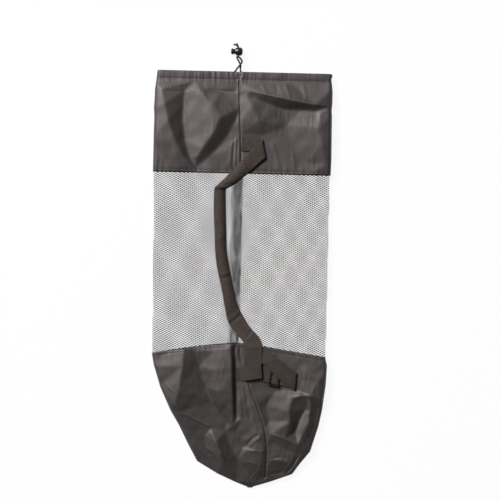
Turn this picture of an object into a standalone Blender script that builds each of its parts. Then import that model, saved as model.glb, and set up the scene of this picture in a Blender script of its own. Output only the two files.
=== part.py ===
"""Mesh ball bag, lying flat: taffeta ends, net body, drawcord with a spring lock, shoulder strap."""

import math

import bmesh
import bpy
from mathutils import Vector
from mathutils.geometry import delaunay_2d_cdt, interpolate_bezier, intersect_point_tri_2d
from mathutils.interpolate import poly_3d_calc

MM = 0.001

# Bag, lying on its back with the mouth at +Y
BAG_LENGTH = 700 * MM
BAG_WIDTH = 297 * MM
BAG_THICKNESS = 14 * MM
FABRIC = 0.8 * MM
CLEARANCE = 0.3 * MM
TOP_PANEL_HEIGHT = 171 * MM
BOTTOM_PANEL_HEIGHT = 244 * MM
JOIN_ARCH = 21 * MM
SEAM_LAP = 10 * MM

# Net
NET_THICKNESS = 1.0 * MM
NET_STRAND = 3.0 * MM
NET_GAPS_AROUND = 16
NET_ROWS = 32
SEAM_STRIP_WIDTH = 16 * MM
SEAM_STRIP_X = -8 * MM

# Hem and drawcord
HEM_HEIGHT = 13 * MM
CORD_DIAMETER = 2.4 * MM
CORD_PLAY = 0.3 * MM
CORD_EXIT_X = -12 * MM
CORD_EXIT_WIDTH = 25 * MM

# Base panel
BASE_RIM_TURN = 6 * MM
BASE_SEAM_LAP = 7 * MM
BASE_X = 28 * MM
BASE_TIP_GAP = 8 * MM

# Webbing
WEBBING_WIDTH = 25 * MM
WEBBING_THICKNESS = 1.4 * MM
FOLD_RADIUS = 1.2 * MM

# Strap slider
SLIDER_LENGTH = 18 * MM
SLIDER_BAR = 3.4 * MM
SLIDER_BAR_THICKNESS = 1.2 * MM
SLIDER_END_BAR = 2.4 * MM
SLIDER_SIDE_PLAY = 0.5 * MM
SLIDER_ALONG = 38 * MM
SLIDER_EDGE = 0.35 * MM

# Cord lock
LOCK_FROM_MOUTH = 34.5 * MM
LOCK_RADIUS = 7.2 * MM
LOCK_LENGTH = 12.5 * MM
LOCK_BORE_RADIUS = 4.7 * MM
LOCK_END_WALL = 1.2 * MM
LOCK_END_SHARE = 0.56
LOCK_CORD_X = -1.2 * MM
PLUNGER_STEM_RADIUS = 4.4 * MM
PLUNGER_HEAD_RADIUS = 5.2 * MM
PLUNGER_HEAD_LENGTH = 3.8 * MM
PLUNGER_TRAVEL = 3.0 * MM
PLUNGER_NECK_SPARE = 0.8 * MM
PLUNGER_END_WALL = 1.0 * MM
CORD_PITCH_IN_LOCK = 2.8 * MM
SPRING_WIRE = 0.5 * MM
SPRING_RADIUS = 3.3 * MM
SPRING_TURNS = 3
POINTS_PER_TURN = 10

# Facets
FRONT_STEPS = 16
FLAT_STEPS = 8
TOP_ROWS = 8
LONG_ROW = 0.1
SAME_PLACE = 0.001 * MM
SIDE_STEPS = 6
FOLD_STEPS = 6
HEM_STEPS = 12
BASE_STEPS = 48
TURNED_STEPS = 28

# Places worked out from the sizes above
HALF_WIDTH = BAG_WIDTH / 2
MOUTH_Y = BAG_LENGTH / 2
TIP_Y = -BAG_LENGTH / 2
TOP_JOIN_Y = MOUTH_Y - TOP_PANEL_HEIGHT
BOTTOM_JOIN_Y = TIP_Y + BOTTOM_PANEL_HEIGHT
NET_INSET = FABRIC + CLEARANCE
NET_HIGH_Y = TOP_JOIN_Y + SEAM_LAP
NET_LOW_Y = BOTTOM_JOIN_Y - JOIN_ARCH - SEAM_LAP
HEM_GAP = CORD_DIAMETER + 2 * CORD_PLAY
CORD_INSET = FABRIC + CORD_PLAY + CORD_DIAMETER / 2
BASE_RADIUS = BAG_WIDTH / math.pi - BASE_RIM_TURN
BASE_Y = TIP_Y + BASE_TIP_GAP + BASE_RADIUS
LAYER = WEBBING_THICKNESS / 2
LOCK_END = LOCK_LENGTH * LOCK_END_SHARE
PLUNGER_END = LOCK_CORD_X + CORD_DIAMETER / 2 + CLEARANCE + PLUNGER_END_WALL
STRAP_TURN = (24.5 * MM, BOTTOM_JOIN_Y - 50 * MM)
STRAP_BIGHT = (98 * MM, BOTTOM_JOIN_Y - 62 * MM)

# Bottom pouch from the seam with the net to the tip: share of its height, share of the half width on the
# left and on the right, share of the bag's thickness
BOTTOM_OUTLINE = (
    (0.00, -1.000, 1.000, 1.00),
    (0.05, -0.960, 1.000, 1.00),
    (0.22, -0.882, 1.000, 0.97),
    (0.42, -0.764, 0.960, 0.90),
    (0.55, -0.655, 0.920, 0.84),
    (0.69, -0.547, 0.850, 0.78),
    (0.82, -0.446, 0.725, 0.72),
    (0.905, -0.230, 0.640, 0.66),
    (0.96, 0.010, 0.400, 0.60),
    (1.00, 0.130, 0.220, 0.52),
)

# Main folds of the front, which rise from its flat plane and leave the plane free under the webbing: share of
# the half width, share of the panel's height from its seam with the net, rise
TOP_FOLDS = {
    "net seam": ((-1, 0, 0), (0, 0, 0), (1, 0, 0)),
    "hem seam": ((-1, 0.924, 0), (0, 0.924, 0), (1, 0.924, 0)),
    "left ridge": ((-0.93, 0.81, 4.5), (-0.91, 0.67, 8), (-0.855, 0.5, 8.5), (-0.775, 0.3, 7), (-0.67, 0.14, 4)),
    "left valley": ((-0.69, 0.8, 0), (-0.7, 0.58, 0), (-0.67, 0.32, 0), (-0.57, 0.11, 0)),
    "crest": ((-0.47, 0.77, 4.5), (-0.37, 0.65, 7), (-0.26, 0.54, 8), (-0.34, 0.39, 7.5), (-0.46, 0.23, 5.5)),
    "slant valley": ((-0.25, 0.82, 0.5), (-0.07, 0.74, 0), (-0.07, 0.54, 0), (-0.15, 0.43, 0), (-0.4, 0.15, 0)),
    "strap ground": ((0, 0.38, 0), (0.2, 0.37, 0), (0.38, 0.33, 0), (0.4, 0.05, 0)),
    "seam ridge": ((0.02, 0.72, 3), (0.09, 0.63, 5), (0.18, 0.5, 4)),
    "slant ridge": ((0.05, 0.82, 3.5), (0.2, 0.785, 6), (0.41, 0.745, 8.5), (0.63, 0.71, 8.5), (0.79, 0.685, 7)),
    "slant hollow": ((0.27, 0.68, 0.8), (0.42, 0.64, 0), (0.63, 0.625, 0), (0.79, 0.61, 2)),
    "right hollow": ((0.5, 0.456, 0), (0.62, 0.263, 0), (0.71, 0.117, 0)),
    "right ridge": ((0.86, 0.56, 4), (0.875, 0.47, 5.5), (0.895, 0.29, 5), (0.91, 0.11, 2.5)),
}
BOTTOM_FOLDS = {
    "net seam": ((-1, 0.086, 0), (-0.6, 0.031, 0), (0, 0, 0), (0.6, 0.031, 0), (1, 0.086, 0)),
    "left wedge": ((-0.58, 0.156, 6), (-0.645, 0.307, 8), (-0.715, 0.42, 5)),
    "wedge floor": ((-0.445, 0.14, 0.5), (-0.43, 0.238, 0), (-0.357, 0.344, 0), (-0.283, 0.443, 0)),
    "slant crease": ((-0.63, 0.49, 6), (-0.5, 0.529, 6.5), (-0.37, 0.566, 5.5)),
    "broad ridge": ((-0.283, 0.07, 3), (-0.27, 0.193, 9), (-0.236, 0.344, 8), (-0.21, 0.467, 4)),
    "tab ground": ((-0.1, 0.03, 0), (-0.1, 0.24, 0), (-0.08, 0.37, 0), (0.2, 0.37, 0), (0.67, 0.36, 0), (0.78, 0.3, 0)),
    "bight ground": ((0.8, 0.22, 0), (0.8, 0.08, 0)),
    "right ridge": ((0.575, 0.44, 5), (0.56, 0.525, 6), (0.525, 0.595, 5)),
    "hollow": ((0.655, 0.475, 0), (0.64, 0.586, 0)),
    "right wedge": ((0.79, 0.45, 6), (0.775, 0.537, 6), (0.74, 0.619, 5)),
    "centre hollow": ((0.1, 0.5, 0.5), (0.35, 0.49, 0.5)),
    "low ridge": ((0.39, 0.63, 4.5), (0.54, 0.656, 5.5), (0.68, 0.69, 5)),
    "low valley": ((0.41, 0.69, 0.8), (0.55, 0.725, 0.4), (0.64, 0.758, 0.4)),
    "bright patch": ((-0.33, 0.62, 3.5), (-0.256, 0.676, 6), (-0.175, 0.754, 6.5), (-0.128, 0.84, 4)),
    "dark valley": ((-0.209, 0.598, 0), (-0.14, 0.68, 0), (-0.06, 0.79, 0), (0.034, 0.9, 0)),
    "valley lip": ((-0.047, 0.68, 4), (0.034, 0.766, 4), (0.108, 0.848, 3)),
    "centre folds": ((0.215, 0.746, 5.5), (0.303, 0.75, 4.5)),
}


def clear_scene():
    for old in list(bpy.data.objects):
        bpy.data.objects.remove(old, do_unlink=True)


def collection(name):
    made = bpy.data.collections.new(name)
    bpy.context.scene.collection.children.link(made)
    return made


def material(name, colour, roughness, metallic=0.0):
    made = bpy.data.materials.new(name)
    made.use_nodes = True
    shader = made.node_tree.nodes["Principled BSDF"]
    shader.inputs["Base Color"].default_value = (*colour, 1.0)
    shader.inputs["Roughness"].default_value = roughness
    shader.inputs["Metallic"].default_value = metallic
    return made


def add_object(name, data, finish, group):
    made = bpy.data.objects.new(name, data)
    if finish:
        data.materials.append(finish)
    group.objects.link(made)
    return made


def add_mesh(name, points, faces, finish, group):
    mesh = bpy.data.meshes.new(name)
    mesh.from_pydata(points, [], faces)
    return add_object(name, mesh, finish, group)


def solidify(thing, thickness, even=True):
    shell = thing.modifiers.new("Thickness", "SOLIDIFY")
    shell.thickness = thickness
    shell.offset = 0
    shell.use_even_offset = even


def cut(thing, cutter):
    hole = thing.modifiers.new("Cut", "BOOLEAN")
    hole.operation = "DIFFERENCE"
    hole.object = cutter


def box_cutter(name, low, high, group):
    bpy.ops.mesh.primitive_cube_add(size=1)
    cutter = bpy.context.object
    cutter.name = name
    cutter.location = [(a + b) / 2 for a, b in zip(low, high)]
    cutter.scale = [b - a for a, b in zip(low, high)]
    return file_cutter(cutter, group)


def file_cutter(cutter, group):
    for owner in list(cutter.users_collection):
        owner.objects.unlink(cutter)
    group.objects.link(cutter)
    cutter.hide_render = True
    cutter.display_type = "WIRE"
    return cutter


# Flattened tubes of fabric


def fold_surface(folds, low, height):
    """Rise of the front over its plane, in flat facets between the fold lines of a panel from low upwards."""
    places = []
    rises = []
    edges = []
    for line in folds.values():
        for step, (across, along, rise) in enumerate(line):
            if step:
                edges.append((len(places) - 1, len(places)))
            places.append(Vector((across * HALF_WIDTH, low + along * height)))
            rises.append(rise * MM)
    corners, _, facets, sources, _, _ = delaunay_2d_cdt(places, edges, [], 0, SAME_PLACE)
    levels = [rises[source[0]] if source else 0.0 for source in sources]

    def rise(x, y):
        spot = Vector((x, y))
        for facet in facets:
            triangle = [corners[corner] for corner in facet]
            if intersect_point_tri_2d(spot, *triangle):
                shares = poly_3d_calc([corner.to_3d() for corner in triangle], spot.to_3d())
                return sum(share * levels[corner] for share, corner in zip(shares, facet))
        return 0.0

    return rise


def no_rise(x, y):
    return 0.0


def flat_ring(left, right, thickness, inset, height, rise=no_rise):
    """Points round a lay-flat tube: front from left to right, right side, back, left side."""
    low = inset
    high = thickness - inset
    radius = (high - low) / 2
    middle = (high + low) / 2
    first = left + inset + radius
    last = right - inset - radius
    ring = []
    for step in range(FRONT_STEPS):
        x = first + (last - first) * step / FRONT_STEPS
        ring.append((x, high + (rise(x, height(x)) if step else 0.0)))
    for step in range(SIDE_STEPS):
        turn = math.pi * step / SIDE_STEPS
        ring.append((last + radius * math.sin(turn), middle + radius * math.cos(turn)))
    for step in range(FLAT_STEPS):
        ring.append((last + (first - last) * step / FLAT_STEPS, low))
    for step in range(SIDE_STEPS):
        turn = math.pi * step / SIDE_STEPS
        ring.append((first - radius * math.sin(turn), middle - radius * math.cos(turn)))
    return [(x, height(x), z) for x, z in ring]


def loft(rings, close_end=False):
    """Quads between successive rings of equal count."""
    count = len(rings[0])
    points = [point for ring in rings for point in ring]
    faces = []
    for level in range(len(rings) - 1):
        for step in range(count):
            a = level * count + step
            b = level * count + (step + 1) % count
            faces.append((a, b, b + count, a + count))
    if close_end:
        start = (len(rings) - 1) * count
        faces.append(tuple(range(start, start + count)))
    return points, faces


def face_out(thing):
    shape = bmesh.new()
    shape.from_mesh(thing.data)
    bmesh.ops.recalc_face_normals(shape, faces=shape.faces)
    shape.to_mesh(thing.data)
    shape.free()


def make_top_panel(finish, group, cutters):
    """Tube whose upper edge turns in and down to a stitch row, as the tunnel of the cord."""
    wall = FABRIC / 2
    bend = (HEM_GAP + FABRIC) / 2
    inner = wall + 2 * bend
    stitched = wall + FABRIC + CLEARANCE
    folded = TOP_PANEL_HEIGHT - HEM_HEIGHT
    section = [(TOP_JOIN_Y + folded * row / TOP_ROWS, wall) for row in range(TOP_ROWS + 1)]
    for degrees in (0, 45, 90, 135, 180):
        turn = math.radians(degrees)
        section.append((MOUTH_Y - wall - bend + bend * math.sin(turn), wall + bend - bend * math.cos(turn)))
    section.append((MOUTH_Y - HEM_HEIGHT + HEM_GAP, inner))
    section.append((MOUTH_Y - HEM_HEIGHT, stitched))
    section.append((MOUTH_Y - HEM_HEIGHT - HEM_GAP, stitched))
    folds = fold_surface(TOP_FOLDS, TOP_JOIN_Y, TOP_PANEL_HEIGHT)
    rings = []
    for row, (y, inset) in enumerate(section):
        rise = folds if 0 < row < TOP_ROWS else no_rise
        rings.append(flat_ring(-HALF_WIDTH, HALF_WIDTH, BAG_THICKNESS, inset, lambda x, y=y: y, rise))
    panel = add_mesh("top_panel", *loft(rings), finish, group)
    face_out(panel)
    solidify(panel, FABRIC)
    notch = box_cutter(
        "cord_exit_notch",
        (
            CORD_EXIT_X - CORD_EXIT_WIDTH / 2,
            MOUTH_Y - HEM_HEIGHT + HEM_GAP,
            BAG_THICKNESS - FABRIC - HEM_GAP - FABRIC / 4,
        ),
        (CORD_EXIT_X + CORD_EXIT_WIDTH / 2, MOUTH_Y + FABRIC, BAG_THICKNESS + FABRIC),
        cutters,
    )
    cut(panel, notch)
    return panel


def make_bottom_panel(finish, group, cutters):
    """Pouch that narrows to a tip, with its upper edge arched and a round opening behind for the base."""

    def join_height(x):
        return BOTTOM_JOIN_Y - JOIN_ARCH * (x / HALF_WIDTH) ** 2

    rings = [flat_ring(-HALF_WIDTH, HALF_WIDTH, BAG_THICKNESS, FABRIC / 2, join_height)]
    seam = NET_LOW_Y - CLEARANCE
    rows = [BOTTOM_OUTLINE[0]]
    for row in BOTTOM_OUTLINE[1:]:
        if row[0] - rows[-1][0] > LONG_ROW:
            rows.append([(a + b) / 2 for a, b in zip(rows[-1], row)])
        rows.append(row)
    outline = {
        side: [(row[side], (BOTTOM_JOIN_Y - seam + (seam - TIP_Y) * row[0]) / BOTTOM_PANEL_HEIGHT, 0) for row in rows]
        for side in (1, 2)
    }
    folds = fold_surface({**BOTTOM_FOLDS, **outline}, BOTTOM_JOIN_Y, -BOTTOM_PANEL_HEIGHT)
    for share, left, right, thick in rows:
        level = seam + (TIP_Y + FABRIC / 2 - seam) * share
        thickness = BAG_THICKNESS * thick
        side_points = (left * HALF_WIDTH, right * HALF_WIDTH, thickness, FABRIC / 2)
        rings.append(flat_ring(*side_points, lambda x, y=level: y, folds if share < 1 else no_rise))
    panel = add_mesh("bottom_panel", *loft(rings, close_end=True), finish, group)
    face_out(panel)
    solidify(panel, FABRIC)
    bpy.ops.mesh.primitive_cylinder_add(
        vertices=BASE_STEPS,
        radius=BASE_RADIUS - BASE_SEAM_LAP,
        depth=2 * (FABRIC + CLEARANCE),
        location=(BASE_X, BASE_Y, 0),
    )
    opening = bpy.context.object
    opening.name = "base_opening"
    cut(panel, file_cutter(opening, cutters))
    return panel


def make_base_panel(finish, group):
    """Round base, folded flat behind the pouch, its rim lying inside the opening's edge."""
    shape = bmesh.new()
    bmesh.ops.create_cone(
        shape, cap_ends=True, segments=BASE_STEPS, radius1=BASE_RADIUS, radius2=BASE_RADIUS, depth=FABRIC
    )
    mesh = bpy.data.meshes.new("base_panel")
    shape.to_mesh(mesh)
    shape.free()
    base = add_object("base_panel", mesh, finish, group)
    base.location = (BASE_X, BASE_Y, FABRIC + CLEARANCE + FABRIC / 2)
    return base


# Net


def net_point(column, height):
    """A knot of the net: columns run along the front from the left edge, then back behind."""
    across = NET_GAPS_AROUND
    low = NET_INSET + NET_THICKNESS / 2
    half = HALF_WIDTH - low
    high = BAG_THICKNESS - low
    column %= 2 * across
    if column in (0, across):
        level = (low + high) / 2
    else:
        level = high if column < across else low
    share = column if column <= across else 2 * across - column
    return (half * (2 * share / across - 1), height, level)


def make_mesh_body(finish, group):
    """Tube of diamond gaps between two plain bands, which lie inside the panels' seams."""
    top = TOP_JOIN_Y - NET_STRAND
    bottom = BOTTOM_JOIN_Y - JOIN_ARCH + NET_STRAND
    rows = NET_ROWS
    columns = 2 * NET_GAPS_AROUND
    shape = bmesh.new()
    knots = {}
    for row in range(rows + 1):
        height = top + (bottom - top) * row / rows
        for column in range(row % 2, columns, 2):
            knots[column, row] = shape.verts.new(net_point(column, height))
    diamonds = []
    for row in range(1, rows):
        for column in range((row + 1) % 2, columns, 2):
            corners = ((column - 1, row), (column, row + 1), (column + 1, row), (column, row - 1))
            diamonds.append(shape.faces.new([knots[c % columns, r] for c, r in corners]))
    for row, inward, edge in ((0, 1, NET_HIGH_Y), (rows, rows - 1, NET_LOW_Y)):
        rim = {c: shape.verts.new(net_point(c, edge)) for c in range(row % 2, columns, 2)}
        for column in rim:
            following = (column + 2) % columns
            middle = (column + 1) % columns
            shape.faces.new((knots[column, row], knots[middle, inward], knots[following, row]))
            shape.faces.new((rim[column], knots[column, row], knots[following, row], rim[following]))
    bmesh.ops.recalc_face_normals(shape, faces=shape.faces)
    bmesh.ops.inset_individual(shape, faces=diamonds, thickness=NET_STRAND / 2, use_even_offset=True)
    bmesh.ops.delete(shape, geom=diamonds, context="FACES_ONLY")
    mesh = bpy.data.meshes.new("mesh_body")
    shape.to_mesh(mesh)
    shape.free()
    net = add_object("mesh_body", mesh, finish, group)
    solidify(net, NET_THICKNESS, even=False)
    return net


def make_seam_strip(finish, group):
    """Doubled net of the centre seam, lying behind the front of the net."""
    level = BAG_THICKNESS - NET_INSET - NET_THICKNESS - CLEARANCE - NET_THICKNESS / 2
    low = BOTTOM_JOIN_Y - JOIN_ARCH
    high = TOP_JOIN_Y
    left = SEAM_STRIP_X - SEAM_STRIP_WIDTH / 2
    right = SEAM_STRIP_X + SEAM_STRIP_WIDTH / 2
    points = [(left, low, level), (right, low, level), (right, high, level), (left, high, level)]
    strip = add_mesh("mesh_seam_strip", points, [(0, 1, 2, 3)], finish, group)
    solidify(strip, NET_THICKNESS)
    return strip


# Webbing


def ribbon_rulings(runs, width):
    """Edge pairs of a webbing strip: smooth runs of (x, y, z), folded over where a run ends."""
    route = []
    for run in runs:
        smooth = [(*point, point[2]) for point in through(run, WEBBING_WIDTH / 2)]
        if route:
            route[-1] = (*route[-1][:3], smooth[0][2])
            smooth = smooth[1:]
        route += smooth
    plan = [Vector((x, y)) for x, y, _, _ in route]
    ahead = [(b - a).normalized() for a, b in zip(plan, plan[1:])]
    side = 1
    rulings = []
    for index, (_, _, before, after) in enumerate(route):
        into = ahead[max(index - 1, 0)]
        out = ahead[min(index, len(ahead) - 1)]
        folded = before != after
        first = side * Vector((-into.y, into.x))
        if folded:
            side = -side
        second = side * Vector((-out.y, out.x))
        across = (first + second).normalized()
        reach = across * (width / 2) / across.dot(first)
        outward = (into - into.dot(across) * across).normalized()
        radius = (after - before) / 2
        for step in range(FOLD_STEPS + 1 if folded else 1):
            turn = math.pi * step / FOLD_STEPS
            centre = plan[index] + outward * abs(radius) * math.sin(turn)
            level = before + radius * (1 - math.cos(turn))
            rulings.append(((*(centre + reach), level), (*(centre - reach), level)))
    return rulings


def make_ribbon(name, runs, finish, group):
    rulings = ribbon_rulings(runs, WEBBING_WIDTH)
    points = [point for pair in rulings for point in pair]
    faces = [(2 * i, 2 * i + 1, 2 * i + 3, 2 * i + 2) for i in range(len(rulings) - 1)]
    strip = add_mesh(name, points, faces, finish, group)
    face_out(strip)
    solidify(strip, WEBBING_THICKNESS)
    return strip


def webbing_levels():
    """Mid heights of the stacked layers of webbing at the lower end of the strap."""
    bar = BAG_THICKNESS + CLEARANCE + SLIDER_BAR_THICKNESS
    lower = bar + CLEARANCE + LAYER
    upper_bar = lower + LAYER + CLEARANCE + SLIDER_BAR_THICKNESS
    upper = upper_bar + CLEARANCE + LAYER
    over = lower + 2 * FOLD_RADIUS
    tab = over + 2 * LAYER + CLEARANCE
    return lower, upper, over, tab


def make_strap(finish, group):
    """Strap from the upper seam over the net to the tab, with its folded bight and tucked end."""
    resting = BAG_THICKNESS + CLEARANCE + LAYER
    turned_over = resting + 2 * FOLD_RADIUS
    lower, upper, over, _ = webbing_levels()
    top = TOP_JOIN_Y
    low = BOTTOM_JOIN_Y
    sewn_end = [
        (-4 * MM, top + 49 * MM, resting),
        (34 * MM, top + 45 * MM, resting),
    ]
    main_run = [
        (34 * MM, top + 45 * MM, turned_over),
        (14 * MM, top + 12 * MM, turned_over),
        (-16 * MM, top - 14 * MM, resting),
        (-34 * MM, top - 36 * MM, resting),
        (-37 * MM, top - 80 * MM, resting),
        (-33 * MM, low + 150 * MM, resting),
        (-19 * MM, low + 82 * MM, resting),
        (-5 * MM, low + 34 * MM, resting),
        (15 * MM, low + 10 * MM, over),
        (23 * MM, low - 14 * MM, over),
        (*STRAP_TURN, over),
    ]
    bight_below = [(*STRAP_TURN, lower), (*STRAP_BIGHT, lower)]
    bight_above = [
        (*STRAP_BIGHT, upper),
        (50 * MM, low - 31 * MM, upper),
        (40 * MM, low - 24.6 * MM, lower),
        (31 * MM, low - 18.8 * MM, lower),
    ]
    runs = [sewn_end, main_run, bight_below, bight_above]
    return make_ribbon("shoulder_strap", runs, finish, group)


def make_tab(finish, group):
    """Tab sewn to the panel on the left, passing over the turned end of the strap."""
    resting = BAG_THICKNESS + CLEARANCE + LAYER
    _, _, _, level = webbing_levels()
    low = BOTTOM_JOIN_Y
    run = [
        (-9 * MM, low - 53.8 * MM, resting),
        (-2 * MM, low - 52.7 * MM, resting + FOLD_RADIUS / 2),
        (9 * MM, low - 51.1 * MM, level),
        (39 * MM, low - 46.5 * MM, level),
    ]
    return make_ribbon("anchor_tab", [run], finish, group)


def make_slider(finish, group):
    """Three-bar adjuster: the middle bar lies under the webbing, the two outer bars over it."""
    lower, _, _, _ = webbing_levels()
    start = Vector(STRAP_TURN)
    along = (Vector(STRAP_BIGHT) - start).normalized()
    centre = start + along * SLIDER_ALONG
    inner = WEBBING_WIDTH / 2 + SLIDER_SIDE_PLAY
    outer = inner + SLIDER_END_BAR
    half = SLIDER_LENGTH / 2
    gap = LAYER + CLEARANCE
    thick = SLIDER_BAR_THICKNESS
    bars = [
        ((-half, -outer, -gap - thick), (half, -inner, gap + thick)),
        ((-half, inner, -gap - thick), (half, outer, gap + thick)),
        ((-SLIDER_BAR / 2, -outer, -gap - thick), (SLIDER_BAR / 2, outer, -gap)),
        ((-half, -outer, gap), (-half + SLIDER_BAR, outer, gap + thick)),
        ((half - SLIDER_BAR, -outer, gap), (half, outer, gap + thick)),
    ]
    slider = None
    for low, high in bars:
        shape = bmesh.new()
        bmesh.ops.create_cube(shape, size=1)
        for vert in shape.verts:
            vert.co = [a + (b - a) * (c + 0.5) for a, b, c in zip(low, high, vert.co)]
        mesh = bpy.data.meshes.new("strap_slider")
        shape.to_mesh(mesh)
        shape.free()
        if slider is None:
            slider = add_object("strap_slider", mesh, finish, group)
        else:
            slider = join_solid(slider, mesh)
    edges = slider.modifiers.new("Edges", "BEVEL")
    edges.width = SLIDER_EDGE
    edges.segments = 1
    edges.limit_method = "ANGLE"
    slider.location = (centre.x, centre.y, lower)
    slider.rotation_euler = (0, 0, math.atan2(along.y, along.x))
    return slider


def join_solid(thing, mesh):
    """Union of a solid with another mesh, applied at once."""
    other = bpy.data.objects.new("joined", mesh)
    bpy.context.scene.collection.objects.link(other)
    union = thing.modifiers.new("Union", "BOOLEAN")
    union.operation = "UNION"
    union.object = other
    bpy.context.view_layer.update()
    whole = bpy.data.meshes.new_from_object(thing.evaluated_get(bpy.context.evaluated_depsgraph_get()))
    thing.modifiers.remove(union)
    thing.data = whole
    bpy.data.objects.remove(other)
    return thing


# Drawcord


def tube(name, points, diameter, finish, group, resolution=2):
    curve = bpy.data.curves.new(name, "CURVE")
    curve.dimensions = "3D"
    curve.bevel_depth = diameter / 2
    curve.bevel_resolution = resolution
    curve.use_fill_caps = True
    spline = curve.splines.new("POLY")
    spline.points.add(len(points) - 1)
    for spot, point in zip(spline.points, points):
        spot.co = (*point, 1)
    return add_object(name, curve, finish, group)


def through(points, step):
    """A smooth curve through route points, sampled about every step."""
    spots = [Vector(point) for point in points]
    ends = [2 * spots[0] - spots[1], *spots, 2 * spots[-1] - spots[-2]]
    path = []
    for before, start, stop, after in zip(ends, ends[1:], ends[2:], ends[3:]):
        count = max(2, round((stop - start).length / step))
        lead = start + (stop - before) / 6
        trail = stop - (after - start) / 6
        path += interpolate_bezier(start, lead, trail, stop, count + 1)[:-1]
    return path + [spots[-1]]


def make_cord_in_hem(finish, group):
    """Cord round the mouth inside the hem, from one side of the exit to the other."""
    level = MOUTH_Y - FABRIC - CORD_PLAY - CORD_DIAMETER
    radius = BAG_THICKNESS / 2 - CORD_INSET
    middle = BAG_THICKNESS / 2
    side = HALF_WIDTH - BAG_THICKNESS / 2
    right_start = CORD_EXIT_X + CORD_EXIT_WIDTH / 2 + CLEARANCE
    left_end = CORD_EXIT_X - CORD_EXIT_WIDTH / 2 - CLEARANCE
    path = [(right_start + (side - right_start) * s / HEM_STEPS, middle + radius) for s in range(HEM_STEPS)]
    for step in range(SIDE_STEPS):
        turn = math.pi * step / SIDE_STEPS
        path.append((side + radius * math.sin(turn), middle + radius * math.cos(turn)))
    path += [(side - side * s / HEM_STEPS, middle - radius) for s in range(2 * HEM_STEPS)]
    for step in range(SIDE_STEPS):
        turn = math.pi * step / SIDE_STEPS
        path.append((-side - radius * math.sin(turn), middle - radius * math.cos(turn)))
    path += [(-side + (left_end + side) * s / HEM_STEPS, middle + radius) for s in range(HEM_STEPS + 1)]
    points = [(x, level, z) for x, z in path]
    return tube("drawcord_in_hem", points, CORD_DIAMETER, finish, group)


def make_strands(lock, finish, group):
    """Two free strands: each leaves the hem, crosses the other and runs through the lock to its tail."""
    hem = MOUTH_Y - FABRIC - CORD_PLAY - CORD_DIAMETER
    hem_z = BAG_THICKNESS - CORD_INSET
    x, y, z = lock
    above = z + CORD_PITCH_IN_LOCK / 2
    below = z - CORD_PITCH_IN_LOCK / 2
    bore = x + LOCK_CORD_X
    near = y - LOCK_RADIUS
    far = y + LOCK_RADIUS
    left = [
        (CORD_EXIT_X - CORD_EXIT_WIDTH / 2, hem, hem_z),
        (CORD_EXIT_X - CORD_EXIT_WIDTH / 2 + CORD_DIAMETER, hem, hem_z),
        (CORD_EXIT_X - 6.5 * MM, hem + 2.4 * MM, hem_z),
        (CORD_EXIT_X - 1 * MM, hem + 10 * MM, hem_z - 0.8 * MM),
        (CORD_EXIT_X + 3.6 * MM, hem + 16.2 * MM, above + 1.6 * MM),
        (CORD_EXIT_X + 6 * MM, hem + 21 * MM, above + 0.8 * MM),
        (bore + 4.5 * MM, near - 4.5 * MM, above + 0.2 * MM),
        (bore + 0.5 * MM, near - 1.4 * MM, above),
        (bore, near + 0.5 * MM, above),
        (bore, y, above),
        (bore, far, above),
        (bore - 0.6 * MM, far + 2 * MM, above - 0.3 * MM),
        (bore - 4 * MM, far + 4 * MM, above - 1 * MM),
        (bore - 8 * MM, far + 4.6 * MM, above - 2 * MM),
    ]
    right = [
        (CORD_EXIT_X + CORD_EXIT_WIDTH / 2, hem, hem_z),
        (CORD_EXIT_X + CORD_EXIT_WIDTH / 2 - CORD_DIAMETER, hem, hem_z),
        (CORD_EXIT_X + 5.2 * MM, hem + 2.6 * MM, hem_z - 0.2 * MM),
        (CORD_EXIT_X + 3.6 * MM, hem + 8 * MM, hem_z - 2.2 * MM),
        (CORD_EXIT_X + 3.6 * MM, hem + 15 * MM, below + 1.6 * MM),
        (CORD_EXIT_X + 0.5 * MM, hem + 22 * MM, below + 0.7 * MM),
        (bore - 1.4 * MM, near - 3 * MM, below),
        (bore, near + 0.5 * MM, below),
        (bore, y, below),
        (bore, far, below),
        (bore - 0.5 * MM, far + 2 * MM, below - 0.1 * MM),
        (bore - 2.4 * MM, far + 7 * MM, below - 0.8 * MM),
    ]
    tube("drawcord_left", through(left, 2.5 * CORD_DIAMETER), CORD_DIAMETER, finish, group)
    tube("drawcord_right", through(right, 2.5 * CORD_DIAMETER), CORD_DIAMETER, finish, group)


# Cord lock: sizes along its own axis, which points from the head of the plunger to the closed end


def turned(name, profile, finish, group):
    """A profile of (along, radius) turned about the lock's axis."""
    mesh = bpy.data.meshes.new(name)
    points = [(radius, 0, along) for along, radius in profile]
    mesh.from_pydata(points, [(i, i + 1) for i in range(len(points) - 1)], [])
    piece = add_object(name, mesh, finish, group)
    spin = piece.modifiers.new("Turn", "SCREW")
    spin.steps = TURNED_STEPS
    spin.render_steps = TURNED_STEPS
    spin.use_merge_vertices = True
    spin.merge_threshold = 0.00001
    piece.rotation_euler = (0, math.pi / 2, 0)
    return piece


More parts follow.
